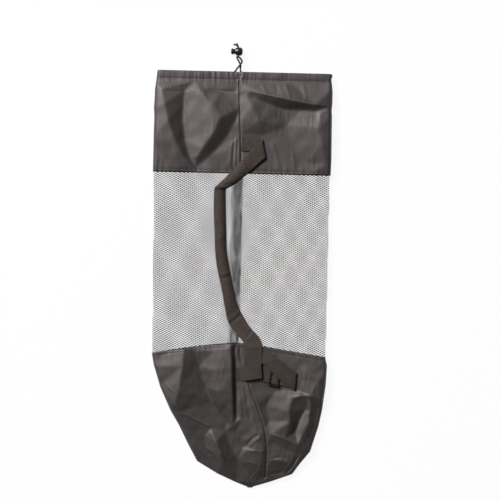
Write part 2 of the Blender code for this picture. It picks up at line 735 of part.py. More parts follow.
def make_lock(centre, finishes, group, cutters):
    """Barrel, plunger and spring, with the cords' slot across the first two."""
    body, button, wire = finishes
    hub = bpy.data.objects.new("cord_lock", None)
    group.objects.link(hub)
    hub.location = centre
    end = LOCK_END
    mouth = end - LOCK_LENGTH
    floor = end - LOCK_END_WALL
    barrel = turned(
        "cord_lock_barrel",
        [
            (end, 0),
            (end, 0.50 * LOCK_RADIUS),
            (end - 0.10 * LOCK_LENGTH, 0.76 * LOCK_RADIUS),
            (end - 0.26 * LOCK_LENGTH, 0.94 * LOCK_RADIUS),
            (end - 0.46 * LOCK_LENGTH, LOCK_RADIUS),
            (end - 0.66 * LOCK_LENGTH, 0.97 * LOCK_RADIUS),
            (end - 0.86 * LOCK_LENGTH, 0.88 * LOCK_RADIUS),
            (mouth, 0.80 * LOCK_RADIUS),
            (mouth, LOCK_BORE_RADIUS),
            (floor, LOCK_BORE_RADIUS),
            (floor, 0),
        ],
        body,
        group,
    )
    inside = PLUNGER_END
    neck = mouth - PLUNGER_TRAVEL - PLUNGER_NECK_SPARE
    tip = neck - PLUNGER_HEAD_LENGTH
    plunger = turned(
        "cord_lock_plunger",
        [
            (inside, 0),
            (inside, PLUNGER_STEM_RADIUS - CLEARANCE),
            (inside - CLEARANCE, PLUNGER_STEM_RADIUS),
            (neck, PLUNGER_STEM_RADIUS),
            (neck, PLUNGER_HEAD_RADIUS),
            (neck - 0.5 * PLUNGER_HEAD_LENGTH, PLUNGER_HEAD_RADIUS),
            (neck - 0.85 * PLUNGER_HEAD_LENGTH, 0.8 * PLUNGER_HEAD_RADIUS),
            (tip, 0.45 * PLUNGER_HEAD_RADIUS),
            (tip, 0),
        ],
        button,
        group,
    )
    tall = (CORD_PITCH_IN_LOCK + CORD_DIAMETER) / 2 + CLEARANCE
    wide = CORD_DIAMETER / 2 + CLEARANCE
    cords = LOCK_CORD_X
    x, y, z = centre
    through_barrel = box_cutter(
        "barrel_cord_slot",
        (x + cords - wide, y - 2 * LOCK_RADIUS, z - tall),
        (x + cords + wide, y + 2 * LOCK_RADIUS, z + tall),
        cutters,
    )
    through_plunger = box_cutter(
        "plunger_cord_slot",
        (x + cords - wide - PLUNGER_TRAVEL, y - 2 * LOCK_RADIUS, z - tall),
        (x + cords + wide, y + 2 * LOCK_RADIUS, z + tall),
        cutters,
    )
    cut(barrel, through_barrel)
    cut(plunger, through_plunger)
    spring = make_spring(inside + CLEARANCE, floor - CLEARANCE, wire, group)
    for piece in (barrel, plunger, spring):
        piece.parent = hub


def make_spring(start, stop, finish, group):
    """Coil between the plunger's end and the barrel's floor, one unbroken wire."""
    first = start + SPRING_WIRE / 2
    last = stop - SPRING_WIRE / 2
    count = SPRING_TURNS * POINTS_PER_TURN
    points = []
    for step in range(count + 1):
        turn = 2 * math.pi * step / POINTS_PER_TURN
        along = first + (last - first) * step / count
        points.append((along, SPRING_RADIUS * math.cos(turn), SPRING_RADIUS * math.sin(turn)))
    gap = least_gap(points) - SPRING_WIRE
    print(f"cord_lock_spring least gap to itself {gap / MM:.2f} mm")
    return tube("cord_lock_spring", points, SPRING_WIRE, finish, group, resolution=1)


def least_gap(points):
    """Least distance between points of neighbouring turns."""
    spots = [Vector(point) for point in points]
    apart = POINTS_PER_TURN // 2
    return min((b - a).length for i, a in enumerate(spots) for b in spots[i + apart :])


def main():
    clear_scene()
    bag = collection("mesh_ball_bag")
    cutters = collection("cutters")
    taffeta = material("taffeta", (0.045, 0.042, 0.041), 0.5)
    net = material("net", (0.03, 0.03, 0.03), 0.7)
    webbing = material("webbing", (0.05, 0.042, 0.036), 0.8)
    cord = material("cord", (0.012, 0.012, 0.012), 0.75)
    plastic = material("plastic", (0.01, 0.01, 0.01), 0.3)
    steel = material("spring_steel", (0.55, 0.55, 0.56), 0.3, 1.0)
    make_top_panel(taffeta, bag, cutters)
    make_mesh_body(net, bag)
    make_seam_strip(net, bag)
    make_bottom_panel(taffeta, bag, cutters)
    make_base_panel(taffeta, bag)
    make_cord_in_hem(cord, bag)
    lock = (CORD_EXIT_X, MOUTH_Y + LOCK_FROM_MOUTH, LOCK_RADIUS)
    make_strands(lock, cord, bag)
    make_lock(lock, (plastic, plastic, steel), bag, cutters)
    make_strap(webbing, bag)
    make_tab(webbing, bag)
    make_slider(plastic, bag)


main()
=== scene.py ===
"""Looks of the mesh ball bag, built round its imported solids: taffeta, net, webbing, drawcord and lock."""

import functools
import math

import bmesh
import bpy
import numpy as np
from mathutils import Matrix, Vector
from mathutils.geometry import delaunay_2d_cdt, interpolate_bezier


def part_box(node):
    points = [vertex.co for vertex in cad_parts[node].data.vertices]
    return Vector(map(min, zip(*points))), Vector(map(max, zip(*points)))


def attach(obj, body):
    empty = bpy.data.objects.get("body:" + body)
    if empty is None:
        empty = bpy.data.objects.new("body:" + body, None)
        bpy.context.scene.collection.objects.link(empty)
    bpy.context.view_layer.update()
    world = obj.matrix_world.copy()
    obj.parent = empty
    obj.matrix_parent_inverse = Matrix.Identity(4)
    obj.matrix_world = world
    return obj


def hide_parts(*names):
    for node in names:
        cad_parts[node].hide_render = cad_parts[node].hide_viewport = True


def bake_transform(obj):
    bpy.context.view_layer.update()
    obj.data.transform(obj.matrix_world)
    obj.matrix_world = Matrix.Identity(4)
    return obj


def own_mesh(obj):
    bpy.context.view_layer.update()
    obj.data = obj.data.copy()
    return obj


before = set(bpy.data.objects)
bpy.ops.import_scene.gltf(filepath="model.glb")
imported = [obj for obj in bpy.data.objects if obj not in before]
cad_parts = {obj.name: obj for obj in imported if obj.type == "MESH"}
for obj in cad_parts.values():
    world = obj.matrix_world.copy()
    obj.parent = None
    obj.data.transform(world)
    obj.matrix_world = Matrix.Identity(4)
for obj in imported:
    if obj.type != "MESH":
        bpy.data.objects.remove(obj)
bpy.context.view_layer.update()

bl_info = {
    "name": "Mesh ball bag",
    "version": (1, 0, 0),
    "blender": (4, 5, 0),
    "location": "3D View > Sidebar > Ball bag",
    "description": "Dresses the solids of a flat-lying mesh ball bag in taffeta, net, webbing and cord",
    "category": "Object",
}

MM = 0.001

# The picture: its side, a pixel's size on the bag, the pixel at the bag's middle, the bag's turn and shift
PICTURE = 500
PIXEL = 1.683 * MM
MIDDLE_PIXEL = (242.6, 279.8)
BAG_TURN = math.radians(1.4)
SIDE_SHIFT = 4 * MM

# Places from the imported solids
TOP_LOW, TOP_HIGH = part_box("top_panel")
BOTTOM_LOW, BOTTOM_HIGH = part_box("bottom_panel")
HALF_WIDTH = TOP_HIGH.x
MOUTH_Y = TOP_HIGH.y
TOP_JOIN_Y = TOP_LOW.y
TIP_Y = BOTTOM_LOW.y
CROWN_Y = BOTTOM_HIGH.y

# Heights of the flat front, the folded sides and the back, rise of the lower seam's arch, gain of the folds
FRONT_Z = 14 * MM
EDGE_Z = FRONT_Z / 2
BACK_Z = 0.6 * MM
ARCH = 21 * MM
FOLD_GAIN = 1.25

# Cell of the reliefs, and how far they reach past the panels
RASTER = 1 * MM
MARGIN = 4 * MM
CROWN_MARGIN = 6 * MM

# Softness of the folds, share of the creases' height, and the shape of the seams
TOP_SOFTNESS = 1.9 * MM
TOP_CREASE_SHARE = 0.6
BOTTOM_SOFTNESS = 1.5 * MM
BOTTOM_CREASE_SHARE = 0.7
SEAM_LAP = 4 * MM
SEAM_GROOVE = 1.1 * MM
HEM_BULGE = 0.3 * MM
HEM_GROOVE_DEPTH = 0.4 * MM
HEM_GROOVE = 1.0 * MM

# Columns and rows of the panels' points, the hem's fold, the cloth turned in below its seam, and how far the
# hem is parted where the cord leaves
FRONT_COLUMN = 1.5 * MM
BACK_COLUMN = 5 * MM
PANEL_ROW = 1.6 * MM
HEM_FOLD = 2 * MM
HEM_TURN_IN = 3 * MM
HEM_PARTING = 4 * MM
PARTING_REACH = 16 * MM
SLIT_ABOVE_SEAM = 5.5 * MM
SLIT_HEIGHT = 3.4 * MM
CORD_EXIT_PIXEL = (239.3, 81)

# Shares of a texture's width where the front of a panel ends and its back starts
FRONT_SHARE = 0.74
BACK_SHARE = 0.76

# The net: legs of its gaps, the finer back, the cloth's share of its area and the layers of its seam strip
FRONT_NET_LEG = 0.7 * MM
STRIP_NET_LEG = 0.4 * MM
FRONT_NET_Z = 12.2 * MM
BACK_STRAND_SHARE = 0.5
BACK_KNOT_SHARE = 0.3
FRONT_CLOSED = 0.85
BACK_CLOSED = 0.36
# Turn in degrees, drop behind the front in mm and how much narrower on the left in mm
STRIP_LAYERS = ((1.5, 0.9, 0), (-4.0, 2.0, 6), (5.0, 3.0, 3))

# The stage: floor, key light, glow of the floor towards the camera, and camera
FLOOR_REACH = 4.0
FLOOR_LEVEL = -0.2 * MM
FLOOR_TONE = 0.86
FLOOR_GLOW = 0.92
WORLD_STRENGTH = 0.09
KEY_PLACE = (-3.25, 3.125, 4.0)
KEY_SIZE = 2.75
KEY_POWER = 560.0
AIM_Z = 12 * MM
CAMERA_DISTANCE = 2.4
SENSOR_WIDTH = 36.0


def spot(px, py):
    """Point of the bag under a pixel of the picture."""
    right = (px - MIDDLE_PIXEL[0]) * PIXEL
    up = (MIDDLE_PIXEL[1] - py) * PIXEL
    cos, sin = math.cos(BAG_TURN), math.sin(BAG_TURN)
    return right * cos - up * sin + SIDE_SHIFT, right * sin + up * cos


# Settings that a user would change


class BagSizes(bpy.types.PropertyGroup):
    """Sizes of the cloth, net, webbing and thread."""

    cloth: bpy.props.FloatProperty(
        name="Taffeta thickness", description="Thickness of the taffeta", default=0.3 * MM, unit="LENGTH",
        precision=5
    )
    hem: bpy.props.FloatProperty(
        name="Hem height", description="Height of the hem that holds the drawcord", default=13 * MM,
        unit="LENGTH"
    )
    net_across: bpy.props.FloatProperty(
        name="Net gap width", description="Pitch of the net's gaps across the bag", default=6.84 * MM,
        unit="LENGTH"
    )
    net_along: bpy.props.FloatProperty(
        name="Net gap height", description="Pitch of the net's gaps along the bag", default=3.72 * MM,
        unit="LENGTH"
    )
    net_strand: bpy.props.FloatProperty(
        name="Net strand", description="Width of the net's strands", default=0.44 * MM, unit="LENGTH",
        precision=5
    )
    net_knot: bpy.props.FloatProperty(
        name="Net knot", description="Height of the net's knots", default=1.7 * MM, unit="LENGTH",
        precision=5
    )
    webbing: bpy.props.FloatProperty(
        name="Webbing width", description="Width of the strap and the tab", default=25 * MM, unit="LENGTH"
    )
    webbing_thickness: bpy.props.FloatProperty(
        name="Webbing thickness", description="Thickness of the webbing", default=1.3 * MM, unit="LENGTH",
        precision=5
    )
    cord: bpy.props.FloatProperty(
        name="Cord diameter", description="Diameter of the drawcord", default=3 * MM, unit="LENGTH",
        precision=5
    )
    stitch: bpy.props.FloatProperty(
        name="Stitch length", description="Length of one stitch", default=2.6 * MM, unit="LENGTH",
        precision=5
    )
    wrinkles: bpy.props.FloatProperty(
        name="Wrinkles", description="Height of the taffeta's fine wrinkles, as a share", default=1.0,
        min=0.0, max=3.0
    )


class BagColours(bpy.types.PropertyGroup):
    """Colours of the finishes."""

    taffeta: bpy.props.FloatVectorProperty(
        name="Taffeta", description="Colour of the end panels", subtype="COLOR", size=3,
        default=(0.021, 0.017, 0.017)
    )
    net: bpy.props.FloatVectorProperty(
        name="Net", description="Colour of the net", subtype="COLOR", size=3, default=(0.016, 0.015, 0.015)
    )
    webbing: bpy.props.FloatVectorProperty(
        name="Webbing", description="Colour of the webbing", subtype="COLOR", size=3,
        default=(0.046, 0.0335, 0.0285)
    )
    cord: bpy.props.FloatVectorProperty(
        name="Cord", description="Colour of the drawcord", subtype="COLOR", size=3,
        default=(0.016, 0.014, 0.013)
    )
    plastic: bpy.props.FloatVectorProperty(
        name="Plastic", description="Colour of the lock and slider", subtype="COLOR", size=3,
        default=(0.012, 0.011, 0.011)
    )
    thread: bpy.props.FloatVectorProperty(
        name="Thread", description="Colour of the sewing thread", subtype="COLOR", size=3,
        default=(0.005, 0.0045, 0.0042)
    )


def sizes():
    return bpy.context.scene.ball_bag_sizes


def colours():
    return bpy.context.scene.ball_bag_colours


# Relief of the cloth: flat facets between fold lines, softened, with creases and ripples on top


def raster(low, high):
    xs = np.arange(low[0], high[0] + RASTER, RASTER)
    ys = np.arange(low[1], high[1] + RASTER, RASTER)
    return np.meshgrid(xs, ys)


def facets(gx, gy, folds):
    """Rise of the flat facets spanned between fold lines of (pixel x, pixel y, rise in mm)."""
    points, heights, edges = [], [], []
    for line in folds.values():
        first = len(points)
        for px, py, height in line:
            points.append(Vector(spot(px, py)))
            heights.append(height * MM)
        edges += [(first + i, first + i + 1) for i in range(len(line) - 1)]
    spots, _, faces, sources, _, _ = delaunay_2d_cdt(points, edges, [], 0, 1e-6)
    level = [heights[source[0]] if source else None for source in sources]
    for index, height in enumerate(level):
        if height is None:
            near = min(range(len(points)), key=lambda k: (points[k] - spots[index]).length)
            level[index] = heights[near]
    field = np.zeros(gx.shape)
    for face in faces:
        (ax, ay), (bx, by), (cx, cy) = (spots[i] for i in face)
        area = (bx - ax) * (cy - ay) - (cx - ax) * (by - ay)
        if abs(area) < 1e-12:
            continue
        u = ((bx - gx) * (cy - gy) - (cx - gx) * (by - gy)) / area
        v = ((cx - gx) * (ay - gy) - (ax - gx) * (cy - gy)) / area
        inside = (u >= -1e-6) & (v >= -1e-6) & (u + v <= 1 + 1e-6)
        heights_here = u * level[face[0]] + v * level[face[1]] + (1 - u - v) * level[face[2]]
        field[inside] = heights_here[inside]
    return field


def soften(field, reach):
    """Blurs a raster by a bell of that reach."""
    count = int(3 * reach / RASTER) + 1
    steps = np.arange(-count, count + 1) * RASTER
    weights = np.exp(-0.5 * (steps / reach) ** 2)
    weights /= weights.sum()
    for axis in (0, 1):
        pad = [(count, count) if a == axis else (0, 0) for a in (0, 1)]
        wide = np.pad(field, pad, mode="edge")
        size = field.shape[axis]
        field = sum(w * np.take(wide, range(i, i + size), axis) for i, w in enumerate(weights))
    return field


def from_line(gx, gy, line):
    """Distance from a line of points, which side it is on (left is positive) and the share along the line."""
    nearest = np.full(np.shape(gx), np.inf)
    side = np.zeros(np.shape(gx))
    share = np.zeros(np.shape(gx))
    lengths = [math.dist(a, b) for a, b in zip(line, line[1:])]
    done = 0.0
    for (ax, ay), (bx, by), length in zip(line, line[1:], lengths):
        dx, dy = bx - ax, by - ay
        along = np.clip(((gx - ax) * dx + (gy - ay) * dy) / length**2, 0, 1)
        apart = np.hypot(gx - ax - along * dx, gy - ay - along * dy)
        closer = apart < nearest
        turn = np.sign(dx * (gy - ay) - dy * (gx - ax))
        nearest = np.where(closer, apart, nearest)
        side = np.where(closer, turn, side)
        share = np.where(closer, (done + along * length) / sum(lengths), share)
        done += length
    return nearest, side, share


def crease(gx, gy, pixels, width, height, lip=1.0):
    """A ridge, or a valley where the height is negative, that fades at its ends. A lip under 1 makes the
    right-hand flank that much steeper."""
    apart, side, share = from_line(gx, gy, [spot(*p) for p in pixels])
    reach = np.where(side >= 0, width, width * lip) * MM
    ends = np.clip(np.minimum(share, 1 - share) / 0.18, 0, 1)
    return height * MM * np.exp(-((apart / reach) ** 2)) * ends * ends * (3 - 2 * ends)


def ripples(gx, gy, seed, count, waves, heading=0.0, spread=math.pi):
    """Seeded waves of about unit height. The waves are the shortest and longest, in mm."""
    draw = np.random.default_rng(seed)
    total = np.zeros(np.shape(gx))
    for _ in range(count):
        wave = draw.uniform(*waves) * MM
        turn = heading + draw.normal(0, spread)
        phase = draw.uniform(0, 2 * math.pi)
        total += np.sin(2 * math.pi * (gx * math.cos(turn) + gy * math.sin(turn)) / wave + phase)
    return total / math.sqrt(count / 2)


def sample(field, low, x, y):
    """Height of a raster at points, between its four nearest cells."""
    i = np.clip((np.asarray(x) - low[0]) / RASTER, 0, field.shape[1] - 1.001)
    j = np.clip((np.asarray(y) - low[1]) / RASTER, 0, field.shape[0] - 1.001)
    i0, j0 = i.astype(int), j.astype(int)
    u, v = i - i0, j - j0
    lower = field[j0, i0] * (1 - u) + field[j0, i0 + 1] * u
    upper = field[j0 + 1, i0] * (1 - u) + field[j0 + 1, i0 + 1] * u
    return lower * (1 - v) + upper * v


def step_up(value, start, stop):
    """0 before start, 1 after stop, smooth between."""
    share = np.clip((value - start) / (stop - start), 0, 1)
    return share * share * (3 - 2 * share)


def bell(value, middle, width):
    return np.exp(-(((value - middle) / width) ** 2))


def sewn_seam(gx, gy, pixels, left_lap, right_lap, depth):
    """A seam along pixels: the low rises of its laps, less the groove between them, in mm."""
    apart, side, _ = from_line(gx, gy, [spot(*p) for p in pixels])
    laps = np.where(side > 0, left_lap, right_lap) * bell(apart, 0, SEAM_LAP)
    return (laps - depth * bell(apart, 0, SEAM_GROOVE)) * MM


# Top panel: fold lines and creases by pixel, heights in mm

TOP_FOLDS = {
    "mouth": ((150, 66, 0), (239, 68, 0), (340, 70, 0)),
    "hem seam": ((150, 80, 0), (195, 80.8, 0), (239.3, 81.8, 0), (290, 82.8, 0), (340, 84, 0)),
    "left edge": ((152, 110, 3), (151, 140, 3)),
    "right edge": ((335, 112, 3), (335, 145, 3)),
    "net seam": ((148, 171.5, 1), (176, 172, 1.5), (195, 172.6, 0.4), (212, 173, 1.2), (226, 173.4, 0),
        (262, 174.2, 0), (286, 174.8, 0.4), (310, 175.5, 1.4), (338, 176, 1)),
    "left ridge": ((161, 89, 5), (164.5, 104, 8.5), (168.5, 121, 8.8), (175.5, 141, 7.4), (184, 158, 4.6)),
    "left valley": ((184.5, 91, 0.6), (183.5, 104, 0), (182.5, 122, 0), (184.5, 140, 0), (189.5, 156, 0),
        (196, 167, 0.2)),
    "middle crest": ((203, 95, 5), (212, 107, 7.6), (221, 118, 8.4), (214, 133, 8), (203, 149, 6),
        (197, 158, 3.4)),
    "mouth valley": ((207, 91, 2.2), (222, 91.4, 0.8), (236, 92, 0)),
    "slant valley": ((236, 119, 1.4), (230, 130, 0), (221, 144, 0), (208, 157, 0), (199, 164, 0)),
    "seam": ((239.6, 96, 0.6), (240, 108, 2), (240.4, 120, 2.4), (240.8, 134, 0.8)),
    "strap ground": ((228, 150, 1.2), (238, 138, 0.3), (262, 135, 0.2), (273, 144, 0), (270, 160, 0),
        (262, 169, 0)),
    "bright ridge": ((246.5, 97, 3), (252, 107, 5), (259, 121, 5)),
    "slant ridge": ((249, 91, 4), (262, 94.6, 6.6), (281, 99, 9), (300, 103, 9), (314, 105.6, 7.6),
        (331, 107, 3.6)),
    "slant hollow": ((257, 99.5, 2.4), (268, 104, 1), (281, 108.4, 0), (300, 110, 0), (315, 111, 2)),
    "right low": ((286, 126, 0), (294, 146, 0), (304, 163, 0)),
    "far ridge": ((319.5, 115, 4.4), (321, 128, 6), (322.5, 146, 5.4), (326, 164, 3)),
}

TOP_LEFT = ((157.2, 70.5), (156.6, 76), (155.8, 82), (154.8, 88), (154.4, 98), (153.7, 107), (154.1, 116),
        (153.5, 132), (153.1, 154), (152.6, 172))
TOP_RIGHT = ((332.6, 74.5), (331.6, 79.6), (332.2, 84), (332.9, 92), (332.6, 104), (331.9, 110),
        (332.2, 116), (331.9, 140), (331.6, 160), (330.8, 176))

SEAM_PIXELS = ((239.3, 82), (239.6, 96), (240.2, 118), (241, 140), (241.3, 150), (241.5, 173))

# width and height in mm, then how much steeper the right-hand flank is, then the pixels
TOP_CREASES = (
    (2.6, 1.6, 0.35, ((249, 91), (281, 99), (314, 105.6), (332, 107.4))),
    (2.2, -1.5, 1.0, ((207, 90.6), (222, 91.2), (238.4, 91.8))),
    (2.4, 0.9, 0.5, ((160, 89), (172, 89.6), (185, 90))),
    (2.0, 0.9, 1.0, ((192, 90), (200, 91), (206, 91))),
    (3.0, 0.7, 1.0, ((262, 83), (265, 92), (268, 96))),
    (3.2, 0.9, 1.0, ((285, 83), (288, 92), (290, 99))),
    (3.0, 0.7, 1.0, ((302, 84), (305, 94), (306, 102))),
    (2.4, -0.7, 1.0, ((275, 83), (277, 90), (278, 97))),
    (2.6, 0.8, 1.0, ((233, 139), (231, 152), (229, 168))),
    (1.8, 0.8, 1.0, ((236.5, 136), (235.6, 150), (235, 168))),
    (1.6, -0.8, 1.0, ((234, 142), (233.2, 156), (232.6, 170))),
    (1.6, 0.8, 1.0, ((239, 142), (238.4, 156), (238.6, 170))),
    (3.4, 0.8, 1.0, ((271, 140), (276, 155), (279, 172))),
    (3.0, 0.6, 1.0, ((292, 150), (294, 162), (295, 174))),
    (2.4, 0.6, 1.0, ((312, 154), (313, 164), (314, 174))),
    (3.0, 0.6, 1.0, ((186, 95), (185, 112), (187, 128))),
    (3.0, 0.5, 1.0, ((320, 110), (318, 130), (321, 150))),
    (2.6, -0.5, 1.0, ((166, 128), (172, 150), (178, 168))),
    (3.6, 0.6, 1.0, ((156, 118), (163, 140), (166, 166))),
)


# Pixels of the cord's exit and of the bunched hem to the left of it
GATHER_PIXEL = (239.3, 80)
BUNCH_PIXEL = (205, 80)


def hem_gathers(gx, gy):
    """Puckers where the cord gathers the hem, strongest by its exit."""
    exit_x, bunch_x = spot(*GATHER_PIXEL)[0], spot(*BUNCH_PIXEL)[0]
    seam_y = MOUTH_Y - sizes().hem
    strength = 0.07 + 0.28 * bell(gx, bunch_x, 50 * MM) + 0.8 * bell(gx, exit_x, 14 * MM)
    height = np.where(gy > seam_y, 0.9, 0.75 * np.exp(-np.maximum(seam_y - gy, 0) / (7 * MM)))
    fine = ripples(gx, 0.12 * gy, seed=11, count=14, waves=(4.5, 9), heading=0.0, spread=0.06)
    broad = ripples(gx, 0.2 * gy, seed=12, count=8, waves=(9, 18), heading=0.0, spread=0.08)
    return (0.4 * fine + 0.5 * broad) * strength * height * MM


@functools.cache
def top_relief():
    low = (-HALF_WIDTH - MARGIN, TOP_JOIN_Y - MARGIN)
    high = (HALF_WIDTH + MARGIN, MOUTH_Y + MARGIN)
    gx, gy = raster(low, high)
    field = FRONT_Z + FOLD_GAIN * soften(facets(gx, gy, TOP_FOLDS), TOP_SOFTNESS)
    for width, height, lip, pixels in TOP_CREASES:
        field += TOP_CREASE_SHARE * crease(gx, gy, pixels, width, height, lip)
    seam_y = MOUTH_Y - sizes().hem
    tunnel = np.clip((gy - seam_y) / sizes().hem, 0, 1)
    field += HEM_BULGE * np.sin(math.pi * tunnel)
    field -= HEM_GROOVE_DEPTH * bell(gy, seam_y, HEM_GROOVE)
    field += hem_gathers(gx, gy)
    field += cloth_ripples(gx, gy, seed=21) * sizes().wrinkles
    field += seam_puckers(gx, gy - TOP_JOIN_Y, seed=24)
    field += sewn_seam(gx, gy, SEAM_PIXELS, left_lap=0.2, right_lap=0.4, depth=1.8)
    return field, low


def cloth_ripples(gx, gy, seed):
    """Shallow waves and fine lengthwise streaks of crumpled taffeta."""
    patches = step_up(ripples(gx, gy, seed=seed, count=6, waves=(60, 120)), -0.6, 1.0)
    broad = 0.12 * ripples(gx, gy, seed=seed + 1, count=12, waves=(16, 44))
    streaks = ripples(gx, gy, seed=seed + 2, count=16, waves=(5, 13), heading=0.0, spread=0.22)
    return (broad + 0.05 * streaks * patches) * MM


def seam_puckers(gx, above, seed):
    """Small puckers along a sewn edge; above is the height over that edge."""
    waves = ripples(gx, 0.3 * above, seed=seed, count=12, waves=(5, 14), heading=0.0, spread=0.12)
    return (0.14 * waves * np.exp(-np.abs(above) / (11 * MM)) - 0.35 * bell(above, 5 * MM, 1.2 * MM)) * MM


# Bottom panel: outline, fold lines and creases by pixel

BOTTOM_LEFT = ((151.6, 353), (153.4, 365), (160, 388), (170, 411), (178.5, 425.7), (188, 445),
        (196.7, 461.5), (217, 474), (236, 483), (247.5, 487.6))
BOTTOM_RIGHT = ((325.4, 357.6), (327.2, 366), (326, 385), (322.4, 410), (318.6, 427), (310.4, 452),
        (300, 464.5), (292.4, 474.8), (270, 482.5), (252.5, 487.6))
JOIN_PIXELS = ((151.6, 353), (170, 350), (191, 347), (212, 344.6), (234, 343), (252, 344.6), (271, 348),
        (298, 352.8), (325.4, 357.6))

# Pixels of the pouch's tip and of its seam's crown, rows of its points, and the share of its rectangle that
# the tapered cloth fills
TIP_PIXEL = (250, 488.4)
CROWN_PIXEL = (238, 343)
POUCH_ROWS = 150

BOTTOM_FOLDS = {
    "net seam": ((146, 352, 0.6), (170, 349, 1.6), (184, 346.8, 2.4), (194, 345.6, 0.6), (213, 343.6, 0.8),
        (221, 342.8, 0.8), (229, 342, 1.6), (235, 341.6, 0), (271, 346.6, 0), (300, 352, 0.6),
        (332, 357, 0.6)),
    "left outline": ((148, 366, 1), (155, 389, 1), (165, 412, 1), (174, 428, 1), (184, 446, 0.6),
        (193, 463, 0), (215, 477, 0), (235, 486, 0), (250, 492, 0)),
    "right outline": ((332, 366, 1), (331, 386, 1), (327.5, 411, 1), (323, 429, 1), (315, 454, 0.6),
        (304, 467, 0), (294.5, 479, 0), (270.5, 487, 0)),
    "wedge left": ((184, 350, 5.4), (182.4, 366, 7.6), (179.4, 388, 8.8), (175.4, 404, 7.6)),
    "wedge floor": ((194, 349.6, 1.6), (199.4, 366, 0.4), (205.4, 386, 0), (211, 401, 0), (219, 413, 0),
        (227, 423, 0)),
    "slant crease": ((179, 411, 5.6), (193, 418.4, 3.6), (204, 424, 2.2), (211, 428.4, 1.8)),
    "broad ridge": ((213.5, 351, 3), (214.5, 370, 5), (217.4, 391, 6), (222, 405, 4.8)),
    "shallow valley": ((221.5, 350, 4), (222.5, 368, 6.2), (224.4, 388, 6.8), (226.6, 404, 5.4)),
    "narrow ridge": ((231, 347, 4.4), (232.4, 368, 6.6), (233, 392, 6.8), (233, 412, 5), (232.2, 425, 2.6)),
    "pleat foot": ((234.6, 350, 0), (235, 384, 0), (236, 400, 0), (236.6, 418, 0.4)),
    "pleat line": ((239.4, 388, 0.8), (240.8, 404, 2.2), (241.6, 418, 2)),
    "seam": ((248.8, 384, 1), (256.6, 405, 2.6), (264.6, 429, 3), (266.8, 448, 3), (265.4, 476, 1)),
    "seam hollow": ((273, 392, 0.4), (266.4, 406, 0.4), (269, 421, 1)),
    "bight ground": ((262, 348, 0), (276, 352, 0), (298, 368, 1.6), (299.6, 380, 2), (299, 391, 1.6),
        (282, 390, 0.4)),
    "bright ridge": ((287.6, 399.6, 4.4), (289, 411, 7), (290, 421, 7), (291.6, 430, 4.4)),
    "hollow brow": ((292.4, 397, 5), (300, 395.2, 5.8), (309, 395.8, 6), (320, 400, 4.6)),
    "hollow floor": ((295.2, 431.4, 0.4), (299.6, 420, 0), (306, 409.4, 0.4)),
    "hollow wedge": ((309.4, 411, 5), (308.4, 422, 6.6), (301.4, 437.4, 5)),
    "hollow far": ((317.4, 408, 1), (314.8, 421, 0.8), (310.4, 436, 1.6)),
    "right plain": ((308, 374, 3.6), (319, 380, 4.6)),
    "low ridge": ((271, 433.8, 4.8), (285, 437.6, 5.8), (298, 444, 5.6)),
    "low valley": ((272.4, 442.4, 3), (285, 448, 3.2), (295.6, 453.4, 3.2)),
    "corner ridge": ((270.4, 460.6, 4), (279.4, 460.4, 4.6), (288.6, 463.4, 4)),
    "corner": ((283.4, 470, 0.8), (292.4, 468.6, 1)),
    "left low": ((187, 428, 3.4), (196, 446, 2.2)),
    "bright patch": ((212, 431, 3.4), (216.4, 441, 6.4), (219.8, 451.4, 7.4), (221, 464, 4.8)),
    "patch foot": ((204.6, 436, 1.4), (207, 447, 1.2), (210.4, 456, 1.2), (214, 467, 0.6)),
    "dark valley": ((225.4, 431.4, 0.4), (229.6, 445, 0), (238, 460.4, 0), (247, 473, 0), (254, 482, 0)),
    "centre folds": ((246, 449.8, 3.6), (255, 451, 5), (263, 452, 5)),
    "centre hollow": ((236.4, 431, 0.8), (239, 440, 0.4), (244, 446.4, 0.8)),
    "centre leaf": ((250.6, 428.6, 3), (257.4, 437.4, 5), (262.4, 445.4, 5)),
    "low centre": ((253, 462, 4), (259.6, 473, 3.4)),
}

BOTTOM_SEAM_PIXELS = ((246.5, 377), (249, 384), (256.6, 405), (261.4, 419), (264.8, 430), (266.8, 445),
        (267, 455), (265.4, 478))

